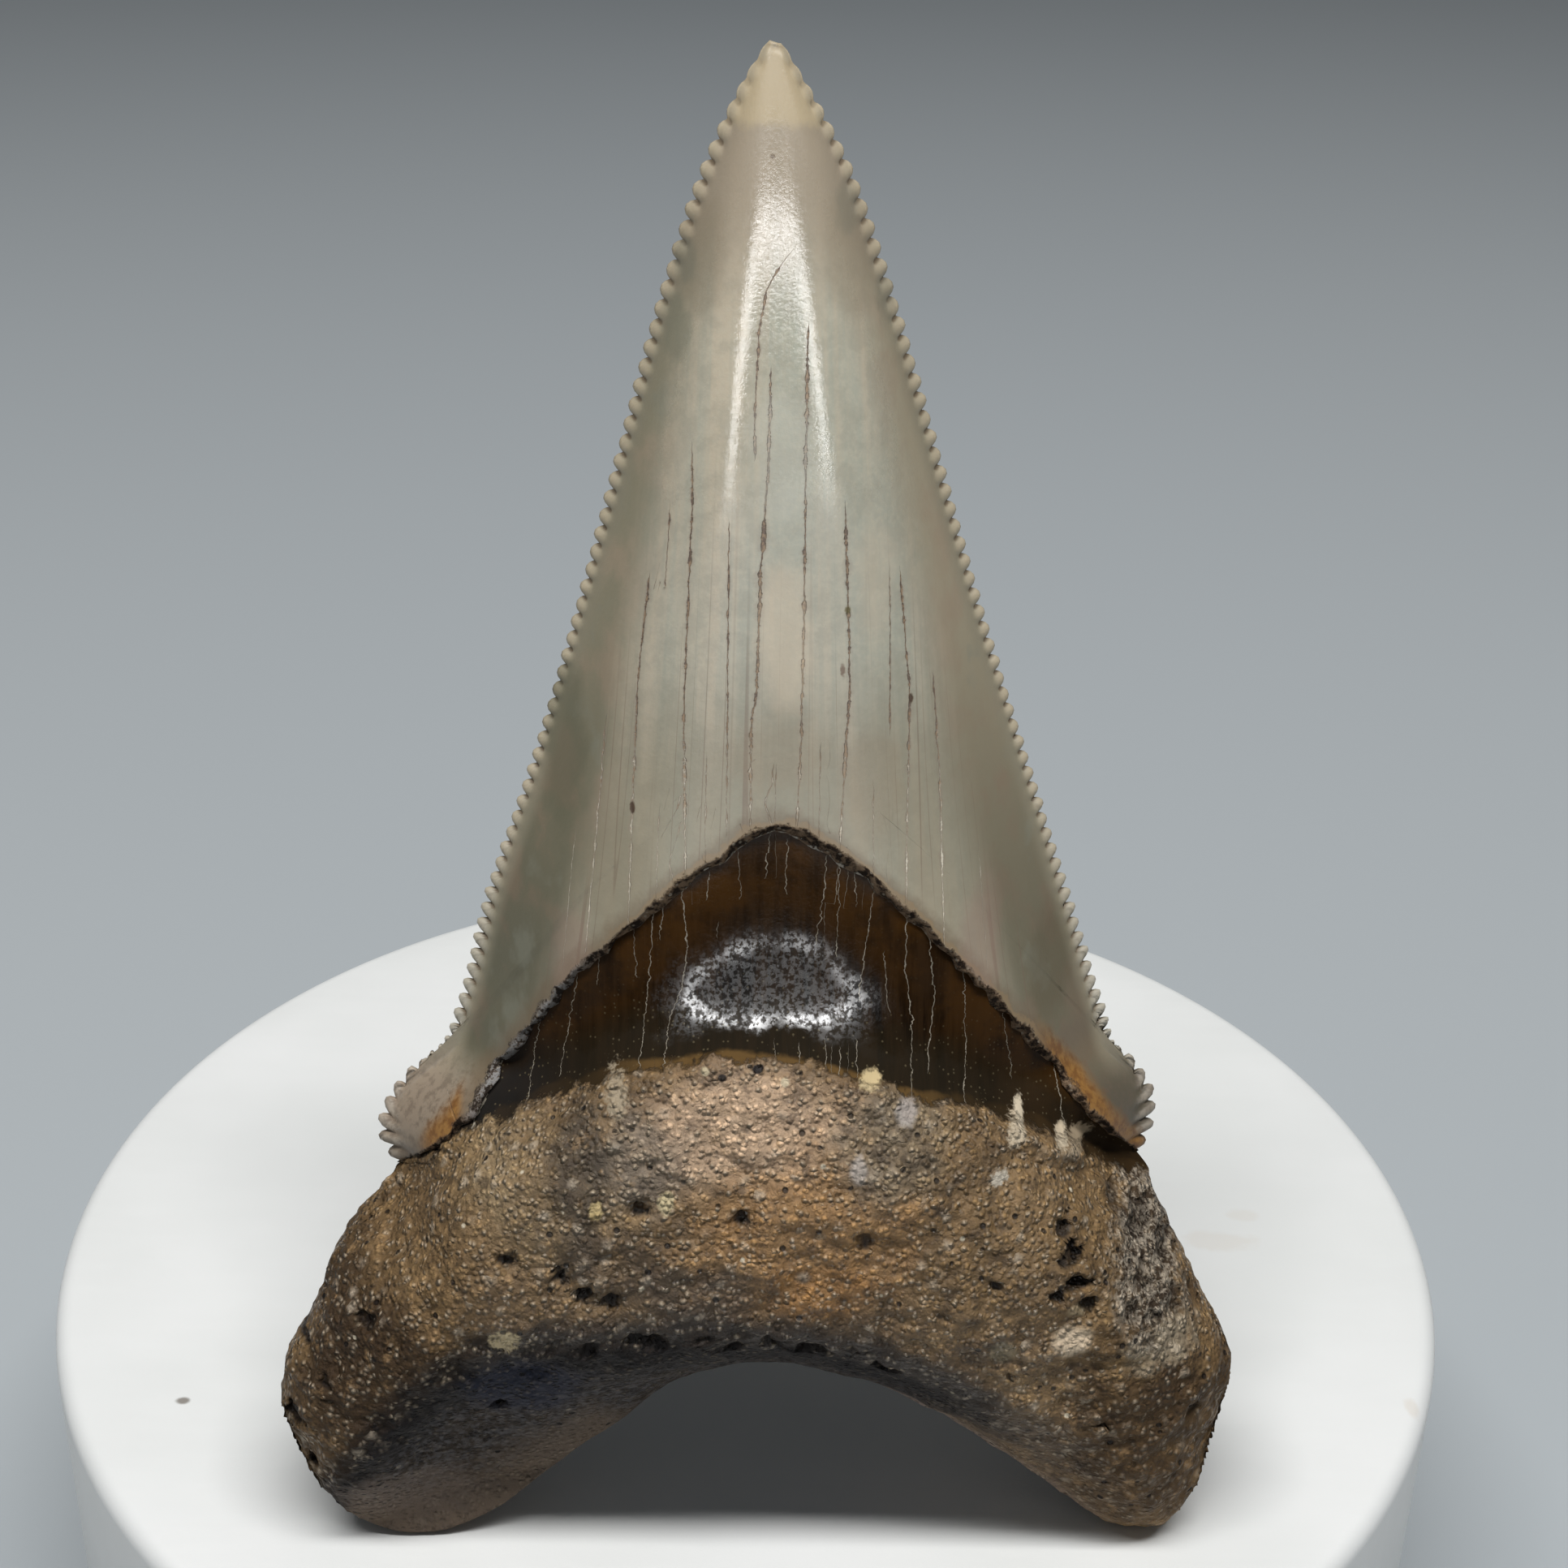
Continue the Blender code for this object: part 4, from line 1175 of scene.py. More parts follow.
def standing():
    """Tooth millimetres to metres in the row's frame."""
    return (Matrix.Diagonal((MM, MM, MM, 1.0))
            @ Matrix.Translation((TOOTH_FOOT[0], TOOTH_FOOT[1], TOOTH_SEAT))
            @ Matrix.Rotation(TOOTH_TURN, 4, "Z") @ Matrix.Rotation(-TOOTH_LEAN, 4, "X"))


for piece in (crown, root):
    piece.data.transform(standing())
    piece.data.update()
    bpy.ops.object.select_all(action="DESELECT")
    piece.select_set(True)
    bpy.context.view_layer.objects.active = piece
    bpy.ops.object.shade_smooth()
    triangles = sum(len(f.vertices) - 2 for f in piece.data.polygons)
    lowest = min(v.co.z for v in piece.data.vertices)
    print(piece.name, triangles, "triangles, lowest point", round(lowest / MM, 2), "mm")

# %% [markdown]
# ## Coordinates for the tooth's finishes
#
# Both finishes are laid out in tooth millimetres. A Mapping node of the Texture kind
# undoes the tooth's place, turn and scale, so that a stain can be put at so many
# millimetres across and up. Object coordinates keep the pattern fixed to the mesh.

# %% Tooth coordinates


def tooth_millimetres(tree):
    """Object coordinates turned back into the tooth's own millimetres."""
    place = add(tree, "ShaderNodeTexCoord").outputs["Object"]
    made = add(tree, "ShaderNodeMapping", {
        "Vector": place, "Location": (TOOTH_FOOT[0] * MM, TOOTH_FOOT[1] * MM, TOOTH_SEAT * MM),
        "Rotation": (-TOOTH_LEAN, 0.0, TOOTH_TURN), "Scale": (MM, MM, MM)}, vector_type="TEXTURE")
    return made.outputs[0]


def patches(tree, mm, colour, rows):
    """Lay soft stains over a colour.

    Each row: x, z, wide, tall, ragged, cloud, strength, colour.
    """
    for x, z, wide, tall, ragged, cloud, strength, stain in rows:
        mask = use_group(tree, SOFT_PATCH, {"Vector": mm, "X": x, "Z": z, "Wide": wide,
                                            "Tall": tall,
                                            "Ragged": ragged, "Cloud": cloud})
        colour = blend(tree, maths(tree, "MULTIPLY", mask, strength), colour, (*stain, 1.0))
    return colour


# %% [markdown]
# ## Enamel
#
# The enamel is glossy and slightly see-through, cream and pale blue-grey in upright
# streaks, with an olive band just inside each cutting edge where it thins. That band is
# partly the thin blade's own tint and partly painted shade for the dark surroundings seen
# through it, and its left side is painted darker than its right as painted shade. The
# knobs are tan with brown dirt between them, the tip is a cream cap, and the lower rim is
# a dark crust. A stretched noise gives the streaks, and the numbers on the mesh place
# everything that follows an edge.

# %% Enamel finish


def enamel_streaks(tree, parts):
    """Upright growth streaks that spread towards the root: coordinates for stretched noise."""
    spread = maths(tree, "MULTIPLY_ADD", maths(tree, "SUBTRACT", parts[2], 30.0), 0.0143, 1.0)
    lane = maths(tree, "MULTIPLY", parts[0], spread)
    return add(tree, "ShaderNodeCombineXYZ", {0: lane, 1: parts[1], 2: parts[2]}).outputs[0]


def enamel_colour(tree, mm, parts, lanes, marks):
    """Base colour of the enamel."""
    wide = noise_value(tree, stretch(tree, lanes, (0.30, 0.1, 0.03)), 1.0, 3.0, 0.55)
    thin = noise_value(tree, stretch(tree, lanes, (1.5, 0.1, 0.07)), 1.0, 4.0, 0.6)
    streak = maths(tree, "ADD", maths(tree, "MULTIPLY", wide, 0.6),
                   maths(tree, "MULTIPLY", thin, 0.4))
    colour = blend(tree, fade(tree, streak, 0.40, 0.60), (0.475, 0.475, 0.385, 1.0),
                   (0.61, 0.530, 0.400, 1.0))
    mottle = noise_value(tree, mm, 1.1, 5.0, 0.65)
    leather = noise_value(tree, mm, 4.5, 4.0, 0.6)
    colour = blend(tree, fade(tree, leather, 0.40, 0.68, 0.0, 0.35), colour,
                   (0.63, 0.58, 0.45, 1.0))
    colour = blend(tree, fade(tree, mottle, 0.60, 0.38, 0.0, 0.32), colour, (0.36, 0.34, 0.27, 1.0))
    dim = maths(tree, "MULTIPLY_ADD", maths(tree, "SUBTRACT", streak, 0.5), 9.0, parts[2])
    colour = blend(tree, fade(tree, dim, 39.5, 33.0, 0.0, 0.66), colour, (0.26, 0.228, 0.155, 1.0))

    # Olive band inside each cutting edge: partly the thin blade's own tint, partly painted shade
    # for the dark surroundings seen through the thin enamel.
    flank_width = fade(tree, parts[2], 56.0, 22.0, 1.25, 3.6)
    shaken = maths(tree, "MULTIPLY_ADD", maths(tree, "SUBTRACT", streak, 0.5), 1.6,
                   marks["edge_gap"])
    flank = fade(tree, shaken, maths(tree, "ADD", flank_width, 1.1),
                 maths(tree, "SUBTRACT", flank_width, 1.1))
    # The band's left side is painted darker than its right. This is painted shade, as the light
    # falls more from the right.
    right = fade(tree, parts[0], -1.0, 1.0)
    high = blend(tree, right, (0.285, 0.250, 0.160, 1.0), (0.42, 0.350, 0.235, 1.0))
    low = blend(tree, right, (0.115, 0.108, 0.065, 1.0), (0.155, 0.135, 0.082, 1.0))
    flank_tint_and_shade = blend(tree, fade(tree, parts[2], 24.0, 44.0), low, high)
    patchy = noise_value(tree, stretch(tree, mm, (0.42, 0.1, 0.26)), 1.0, 4.0, 0.6)
    brown = blend(tree, fade(tree, parts[2], 24.0, 44.0), (0.180, 0.125, 0.078, 1.0),
                  (0.400, 0.300, 0.200, 1.0))
    flank_tint_and_shade = blend(tree, fade(tree, patchy, 0.46, 0.62, 0.0, 0.75), flank_tint_and_shade, brown)
    flank_tint_and_shade = blend(tree, fade(tree, patchy, 0.44, 0.32, 0.0, 0.45), flank_tint_and_shade,
                  (0.230, 0.235, 0.180, 1.0))
    colour = blend(tree, maths(tree, "MULTIPLY", flank, 0.88), colour, flank_tint_and_shade)
    root_of_knobs = fade(tree, marks["edge_gap"], 0.95, 0.35, 0.0, 0.75)
    colour = blend(tree, root_of_knobs, colour, (0.31, 0.275, 0.195, 1.0))
    upper = fade(tree, parts[2], 50.0, 56.5)
    colour = blend(tree, maths(tree, "MULTIPLY", upper, 0.85), colour, (0.39, 0.32, 0.235, 1.0))
    crooked = maths(tree, "MULTIPLY_ADD", maths(tree, "SUBTRACT", mottle, 0.5), 0.8, parts[2])
    cap = fade(tree, crooked, 58.15, 58.75)
    colour = blend(tree, maths(tree, "MULTIPLY", cap, 0.9), colour, (0.53, 0.43, 0.275, 1.0))
    knob_tone = blend(tree, fade(tree, parts[2], 20.0, 34.0), (0.49, 0.455, 0.375, 1.0),
                      (0.50, 0.425, 0.300, 1.0))
    colour = blend(tree, marks["knob"], colour, knob_tone)
    dirt = maths(tree, "MULTIPLY", fade(tree, marks["notch"], 0.35, 0.85),
                 fade(tree, parts[2], 61.0, 57.0, 0.15, 0.85))
    return blend(tree, dirt, colour, (0.15, 0.105, 0.06, 1.0)), streak, leather


def enamel_rim(tree, mm, colour, parts, marks):
    """Cusplets, halo, amber stains and the dark crust along the lower rim."""
    crumble = noise_value(tree, mm, 2.6, 5.0, 0.65)
    gap = maths(tree, "MULTIPLY_ADD", maths(tree, "SUBTRACT", crumble, 0.5), 0.7, marks["rim_gap"])
    cusplet = blend(tree, fade(tree, parts[0], -2.0, 2.0), (0.33, 0.255, 0.185, 1.0),
                    (0.092, 0.076, 0.050, 1.0))
    ridge = fade(tree, maths(tree, "SUBTRACT", marks["knob"], marks["notch"]), -0.1, 0.6)
    cusplet = blend(tree, maths(tree, "MULTIPLY", ridge, 0.6), cusplet, (0.50, 0.43, 0.35, 1.0))
    cusplet = blend(tree, fade(tree, crumble, 0.54, 0.36, 0.0, 0.55), cusplet,
                    (0.14, 0.100, 0.072, 1.0))
    colour = blend(tree, fade(tree, parts[2], 21.0, 18.8, 0.0, 0.85), colour, cusplet)
    halo = fade(tree, gap, 1.0, 0.05, 0.0, 0.75)
    colour = blend(tree, halo, colour, (0.175, 0.125, 0.075, 1.0))
    gold = maths(tree, "MULTIPLY", fade(tree, gap, 0.34, 0.2), fade(tree, parts[0], -9.0, -4.0))
    colour = blend(tree, maths(tree, "MULTIPLY", gold, 0.5), colour, (0.33, 0.225, 0.115, 1.0))
    right = maths(tree, "MULTIPLY", fade(tree, parts[0], 10.4, 11.6), fade(tree, gap, 1.1, 0.4))
    left = maths(tree, "MULTIPLY", fade(tree, parts[0], -13.0, -13.5),
                 fade(tree, parts[0], -15.4, -14.6))
    left = maths(tree, "MULTIPLY", left, fade(tree, gap, 0.9, 0.35))
    amber = blend(tree, fade(tree, crumble, 0.38, 0.62), (0.19, 0.075, 0.012, 1.0),
                  (0.33, 0.160, 0.034, 1.0))
    colour = blend(tree, maths(tree, "MULTIPLY", maths(tree, "MAXIMUM", left, right), 0.9), colour,
                   amber)
    colour = patches(tree, mm, colour, [
        (8.1, 26.3, 1.0, 2.6, 0.25, 0.6, 0.35, (0.36, 0.235, 0.185)),
        (-8.5, 25.6, 0.9, 2.2, 0.25, 0.6, 0.30, (0.36, 0.235, 0.185)),
    ])
    crust = fade(tree, gap, 0.10, -0.06)
    tone = blend(tree, fade(tree, crumble, 0.42, 0.60), (0.018, 0.009, 0.004, 1.0),
                 (0.240, 0.160, 0.098, 1.0))
    grains = use_group(tree, CRUMBS, {"Vector": mm, "Scale": 4.0, "Amount": 0.34, "Size": 0.40})
    tone = blend(tree, maths(tree, "MULTIPLY", grains, 0.6), tone, (0.40, 0.34, 0.26, 1.0))
    wave = maths(tree, "MULTIPLY_ADD", maths(tree, "SUBTRACT", crumble, 0.5), 0.80,
                 marks["rim_gap"])
    lip = maths(tree, "MULTIPLY", fade(tree, wave, -0.40, -0.46), fade(tree, wave, -0.58, -0.50))
    near_apex = fade(tree, maths(tree, "ABSOLUTE", maths(tree, "ADD", parts[0], 0.3)), 5.6, 3.2,
                     0.0, 0.95)
    tone = blend(tree, maths(tree, "MULTIPLY", lip, near_apex), tone, (0.60, 0.54, 0.45, 1.0))
    left_leg = maths(tree, "MULTIPLY", fade(tree, parts[0], -6.8, -9.2),
                     fade(tree, parts[0], -13.4, -12.4))
    chalk = maths(tree, "MULTIPLY", left_leg, fade(tree, crumble, 0.46, 0.54, 0.05, 0.95))
    tone = blend(tree, chalk, tone, (0.300, 0.290, 0.280, 1.0))
    return blend(tree, crust, colour, tone), crust, crumble


def enamel_cracks(tree, mm, colour, parts, lanes, marks):
    """Fine brown cracks that turn chalky near the root, and faint parallel hairlines."""
    line, wide = crack_lines(tree, mm, marks, {"Width": 0.038, "Wander": 0.18, "Uneven": 1.0})
    colour = blend(tree, maths(tree, "MULTIPLY", wide, 0.26), colour, (0.33, 0.235, 0.185, 1.0))
    faint = noise_value(tree, stretch(tree, lanes, (1.9, 0.1, 0.006)), 1.0, 0.0, 0.5)
    thread = fade(tree, maths(tree, "ABSOLUTE", maths(tree, "SUBTRACT", faint, 0.5)), 0.020, 0.003)
    some = fade(tree, noise_value(tree, stretch(tree, lanes, (0.5, 0.1, 0.09)), 1.0, 2.0), 0.42,
                0.6)
    thread = maths(tree, "MULTIPLY", maths(tree, "MULTIPLY", thread, some),
                   fade(tree, parts[2], 48.0, 32.0, 0.0, 0.55))
    inner = fade(tree, marks["edge_gap"], 1.8, 3.0)
    colour = blend(tree, maths(tree, "MULTIPLY", thread, inner), colour, (0.20, 0.135, 0.095, 1.0))
    crumbs = noise_value(tree, mm, 5.5, 3.0, 0.6)
    chalky = fade(tree, maths(tree, "MULTIPLY_ADD", crumbs, 16.0, parts[2]), 44.5, 36.0)
    filled_in = blend(tree, fade(tree, crumbs, 0.44, 0.56), (0.130, 0.080, 0.052, 1.0),
                      (0.33, 0.22, 0.13, 1.0))
    filled_in = blend(tree, chalky, filled_in, (0.80, 0.73, 0.58, 1.0))
    return blend(tree, maths(tree, "MULTIPLY", line, 0.92), colour, filled_in), line


def crack_lines(tree, mm, marks, settings):
    """The lines of both layers of cracks: their core and their wide stain."""
    core, wide = None, None
    for layer in ("a", "b"):
        out = group_outputs(tree, HAIRLINE, {"Vector": mm, "Side": marks["side_" + layer],
                                             "Near": marks["near_" + layer], **settings})
        core = out["Mask"] if core is None else maths(tree, "MAXIMUM", core, out["Mask"])
        wide = out["Wide"] if wide is None else maths(tree, "MAXIMUM", wide, out["Wide"])
    return core, wide


def make_enamel():
    """Glossy fossil enamel."""
    material, tree, shader = new_material("fossil enamel")
    mm = tooth_millimetres(tree)
    parts = add(tree, "ShaderNodeSeparateXYZ", {0: mm}).outputs
    lanes = enamel_streaks(tree, parts)
    marks = {name: attribute(tree, name) for name in
             ("edge_gap", "rim_gap", "knob", "notch", "side_a", "side_b", "near_a", "near_b")}
    colour, streak, leather = enamel_colour(tree, mm, parts, lanes, marks)
    colour, line = enamel_cracks(tree, mm, colour, parts, lanes, marks)
    colour = patches(tree, mm, colour, [
        (-3.4, 53.6, 1.2, 2.4, 0.3, 0.6, 0.35, (0.280, 0.225, 0.150)),
        (2.4, 53.8, 1.2, 2.4, 0.3, 0.6, 0.30, (0.300, 0.240, 0.160)),
        (-0.2, 46.4, 1.4, 2.4, 0.3, 0.5, 0.35, (0.700, 0.680, 0.580)),
        (0.0, 39.4, 1.1, 3.0, 0.3, 0.5, 0.45, (0.800, 0.650, 0.470)),
        (3.6, 41.6, 0.9, 2.4, 0.3, 0.5, 0.30, (0.740, 0.620, 0.460)),
        (-0.4, 34.7, 2.4, 1.6, 0.3, 0.5, 0.22, (0.340, 0.240, 0.140)),
        (3.6, 33.6, 1.2, 2.4, 0.3, 0.5, 0.25, (0.320, 0.230, 0.140)),
        (-6.6, 29.4, 1.6, 2.6, 0.3, 0.5, 0.35, (0.240, 0.205, 0.135)),
        (-8.9, 33.8, 1.0, 3.6, 0.3, 0.5, 0.55, (0.120, 0.118, 0.070)),
        (11.4, 24.6, 1.2, 2.4, 0.3, 0.5, 0.40, (0.110, 0.084, 0.042)),
        (-4.3, 50.6, 0.6, 1.4, 0.35, 0.9, 0.45, (0.200, 0.205, 0.150)),
        (-3.9, 53.4, 0.5, 0.9, 0.35, 0.9, 0.45, (0.200, 0.200, 0.150)),
        (4.0, 52.3, 0.5, 1.2, 0.35, 0.9, 0.45, (0.230, 0.215, 0.160)),
        (2.3, 55.4, 0.5, 1.1, 0.35, 0.9, 0.45, (0.240, 0.225, 0.170)),
        (-6.0, 32.1, 0.12, 0.26, 0.3, 4.0, 1.1, (0.10, 0.06, 0.035)),
        (5.05, 36.6, 0.11, 0.22, 0.3, 4.0, 1.0, (0.10, 0.06, 0.035)),
        (2.42, 40.3, 0.15, 0.18, 0.3, 4.0, 0.9, (0.15, 0.115, 0.03)),
        (2.26, 37.9, 0.11, 0.26, 0.4, 5.0, 0.9, (0.20, 0.13, 0.085)),
        (-0.60, 57.3, 0.10, 0.10, 0.1, 3.0, 0.8, (0.18, 0.13, 0.09)),
    ])
    colour, crust, crumble = enamel_rim(tree, mm, colour, parts, marks)
    wire(tree, colour, shader.inputs["Base Color"])
    grain = noise_value(tree, mm, 6.5, 3.0, 0.6)
    gloss = mix_value(tree, fade(tree, marks["edge_gap"], 3.0, 0.6),
                      fade(tree, grain, 0.40, 0.60, 0.08, 0.19), 0.34)
    worn = maths(tree, "MULTIPLY_ADD", maths(tree, "SUBTRACT", streak, 0.5), 6.0, parts[2])
    gloss = mix_value(tree, fade(tree, worn, 47.0, 41.5), gloss, 0.46)
    gloss = mix_value(tree, maths(tree, "MAXIMUM", marks["notch"], line), gloss, 0.6)
    wire(tree, mix_value(tree, crust, gloss, 0.72), shader.inputs["Roughness"])
    wire(tree, mix_value(tree, crust, 0.5, 0.12), shader.inputs["Specular IOR Level"])
    ripple = noise_value(tree, stretch(tree, lanes, (1.2, 0.1, 0.05)), 1.0, 3.0)
    height = maths(tree, "MULTIPLY", grain, 0.0075)
    height = maths(tree, "MULTIPLY_ADD", ripple, 0.010, height)
    height = maths(tree, "MULTIPLY_ADD", leather, 0.003, height)
    height = maths(tree, "MULTIPLY_ADD", line, -0.05, height)
    height = maths(tree, "MULTIPLY_ADD", maths(tree, "MULTIPLY", crust, crumble), 0.25, height)
    bump = add(tree, "ShaderNodeBump", {"Height": height, "Strength": 1.0, "Distance": MM})
    wire(tree, bump.outputs[0], shader.inputs["Normal"])
    shader.inputs["Subsurface Weight"].default_value = 0.08
    shader.inputs["Subsurface Radius"].default_value = (0.0012, 0.0009, 0.0006)
    return material


crown.data.materials.append(make_enamel())
print("enamel:", len(crown.data.materials[0].node_tree.nodes), "nodes")

# %% [markdown]
# ## Bone and bourlette
#
# The root's skin changes from rough bone to the smooth band at the root line. One
# finish carries both, mixed by how much bone the mesh says there is. The bone is brown
# in many shades: warm at the middle, nearly black on the left lobe, with pale crumbs in
# the cavities. Painted light is laid into it too: painted shade under the fold and on
# the underside, in pores, pits, low places and between grains, a painted highlight on
# the tops of pale grains, painted light bounced up from the block along the lower edge
# and at the foot of the left lobe, and a painted blue reflection on the left lobe. The
# band is chocolate brown and satin, amber where it thins under the chevron, with
# chalk-white cracks and a painted grey-blue sheen at its lower left.

# %% Bone finish


def bone_colour(tree, mm, parts, marks):
    """Stains, crystals and pits of the bone, with painted shade, painted highlights and painted
    bounce light.
    """
    cloud = noise_value(tree, mm, 0.35, 5.0, 0.65)
    blotch = noise_value(tree, mm, 1.1, 5.0, 0.65)
    grain = noise_value(tree, mm, 2.8, 5.0, 0.7)
    fine = noise_value(tree, mm, 8.0, 3.0, 0.7)
    colour = blend(tree, fade(tree, cloud, 0.34, 0.66), (0.210, 0.130, 0.060, 1.0),
                   (0.450, 0.285, 0.128, 1.0))
    colour = patches(tree, mm, colour, [
        (-10.0, 17.0, 4.5, 3.0, 0.3, 0.4, 0.7, (0.460, 0.320, 0.165)),
        (-11.6, 17.3, 1.0, 1.4, 0.3, 0.6, 0.5, (0.660, 0.480, 0.270)),
        (-13.5, 13.0, 4.0, 3.4, 0.3, 0.4, 0.7, (0.310, 0.195, 0.090)),
        (8.6, 15.4, 4.6, 4.2, 0.3, 0.4, 0.75, (0.310, 0.190, 0.076)),
        (-1.4, 20.0, 4.6, 2.6, 0.25, 0.5, 0.95, (0.980, 0.680, 0.440)),
        (0.9, 15.8, 5.0, 3.6, 0.3, 0.45, 0.75, (0.600, 0.330, 0.125)),
        (-5.8, 18.8, 2.3, 2.0, 0.35, 0.6, 0.60, (0.400, 0.340, 0.265)),
        (1.5, 13.3, 3.0, 1.4, 0.4, 0.6, 0.60, (0.560, 0.265, 0.070)),
        (4.3, 19.3, 2.4, 2.4, 0.35, 0.6, 0.55, (0.360, 0.300, 0.205)),
        (10.0, 17.2, 1.7, 3.2, 0.3, 0.5, 0.60, (0.450, 0.285, 0.130)),
        (-3.4, 13.4, 3.2, 1.3, 0.4, 0.6, 0.65, (0.090, 0.074, 0.060)),
        (-8.0, 18.0, 1.3, 3.4, 0.3, 0.6, 0.80, (0.081, 0.064, 0.044)),
        (-6.6, 14.6, 2.6, 1.6, 0.35, 0.5, 0.65, (0.116, 0.078, 0.044)),
        (-16.5, 8.2, 3.6, 4.0, 0.25, 0.35, 0.85, (0.046, 0.026, 0.013)),
        (-19.2, 5.2, 2.2, 3.6, 0.3, 0.5, 0.7, (0.070, 0.044, 0.024)),
        (16.0, 4.6, 4.6, 5.2, 0.25, 0.35, 0.9, (0.095, 0.056, 0.026)),
        (-18.4, 10.6, 2.4, 3.0, 0.3, 0.5, 0.6, (0.060, 0.036, 0.019)),
    ])
    colour = blend(tree, fade(tree, blotch, 0.50, 0.34, 0.0, 0.6), colour,
                   (0.055, 0.036, 0.022, 1.0))
    colour = blend(tree, fade(tree, blotch, 0.54, 0.70, 0.0, 0.5), colour,
                   (0.698, 0.434, 0.207, 1.0))
    under = maths(tree, "MULTIPLY_ADD", maths(tree, "SUBTRACT", blotch, 0.5), 1.6,
                  marks["under_fold"])
    # Below the fold the face turns under. Its colour is darkened there as painted shade, and made
    # bluish as a painted reflection.
    shaded_underside = maths(tree, "MULTIPLY", fade(tree, under, -0.3, 0.9),
                  fade(tree, parts[0], 12.0, 6.0, 0.3, 1.0))
    # Near the outline and towards the lobes the underside is painted pale tan. This is painted
    # light bounced up from the block.
    lower = maths(tree, "MULTIPLY_ADD", maths(tree, "SUBTRACT", cloud, 0.5), 3.0, marks["edge_gap"])
    lower = maths(tree, "ADD", lower, fade(tree, maths(tree, "ABSOLUTE", parts[0]), 9.0, 4.0, 0.0,
                                           3.5))
    vein = noise_value(tree, mm, 2.6, 5.0, 0.7)
    underside_shade_colour = blend(tree, fade(tree, vein, 0.42, 0.60), (0.0035, 0.0038, 0.0055, 1.0),
                        (0.060, 0.061, 0.068, 1.0))
    underside_shade_and_bounce = blend(tree, fade(tree, lower, 0.6, 3.4), (0.115, 0.088, 0.068, 1.0), underside_shade_colour)
    colour = blend(tree, maths(tree, "MULTIPLY", shaded_underside, 0.94), colour, underside_shade_and_bounce)
    # A band along the fold, where the face turns under, is painted nearly black as painted shade.
    fold_shade = maths(tree, "MULTIPLY", fade(tree, under, -2.0, -0.4), fade(tree, under, 3.2, 1.2))
    fold_shade = maths(tree, "MULTIPLY", fold_shade, fade(tree, parts[0], 13.0, 8.0))
    colour = blend(tree, maths(tree, "MULTIPLY", fold_shade, 0.92), colour,
                   (0.008, 0.007, 0.008, 1.0))
    # In this list, the blue patch on the left lobe is a painted reflection, and the pale patch at
    # its foot is painted light bounced up from the block.
    colour = patches(tree, mm, colour, [
        (-10.6, 8.0, 2.8, 1.8, 0.25, 0.5, 0.75, (0.014, 0.020, 0.042)),
        (-15.6, 1.6, 3.2, 1.6, 0.3, 0.5, 0.5, (0.170, 0.130, 0.105)),
        (16.0, 9.6, 1.8, 1.0, 0.45, 1.2, 0.9, (0.54, 0.44, 0.30)),
    ])
    crust_zone = use_group(tree, SOFT_PATCH, {"Vector": mm, "X": 15.6, "Z": 12.6, "Wide": 2.0,
                                              "Tall": 3.2, "Ragged": 0.4, "Cloud": 0.9})
    speck = noise_value(tree, mm, 2.6, 4.0, 0.75)
    mixed = blend(tree, fade(tree, speck, 0.44, 0.56), (0.020, 0.018, 0.018, 1.0),
                  (0.62, 0.54, 0.43, 1.0))
    colour = blend(tree, maths(tree, "MULTIPLY", crust_zone, 0.85), colour, mixed)
    # A pale edge along the lower outline on the right is painted light bounced up from the block.
    block_bounce_edge = maths(tree, "MULTIPLY", fade(tree, marks["edge_gap"], 0.8, 0.2, 0.0, 0.55),
                      maths(tree, "MULTIPLY", fade(tree, parts[0], 3.0, 6.0),
                            fade(tree, parts[0], 15.6, 13.5)))
    colour = blend(tree, block_bounce_edge, colour, (0.30, 0.235, 0.20, 1.0))

    lobe = maths(tree, "MULTIPLY", fade(tree, parts[0], 12.0, 15.0),
                 fade(tree, parts[2], 8.0, 5.0, 0.0, 0.55))
    sandy = maths(tree, "SUBTRACT", 1.0,
                  maths(tree, "MAXIMUM", maths(tree, "MULTIPLY", shaded_underside, 0.85), lobe))
    small = group_outputs(tree, GRAINS, {"Vector": mm, "Scale": 4.0, "Uneven": 0.12})
    large = group_outputs(tree, GRAINS, {"Vector": mm, "Scale": 1.9, "Uneven": 0.35})
    # The gaps between grains are painted dark as painted shade. Some whole grains also get a darker
    # tone of their own.
    grain_gap_shade = maths(tree, "MAXIMUM", fade(tree, small["Height"], 0.45, 0.20, 0.0, 0.40),
                 fade(tree, large["Height"], 0.36, 0.16, 0.0, 0.50))
    dark = maths(tree, "MAXIMUM", grain_gap_shade, fade(tree, small["Shade"], 0.35, 0.0, 0.0, 0.50))
    colour = blend(tree, maths(tree, "MULTIPLY", dark, sandy), colour, (0.040, 0.024, 0.013, 1.0))
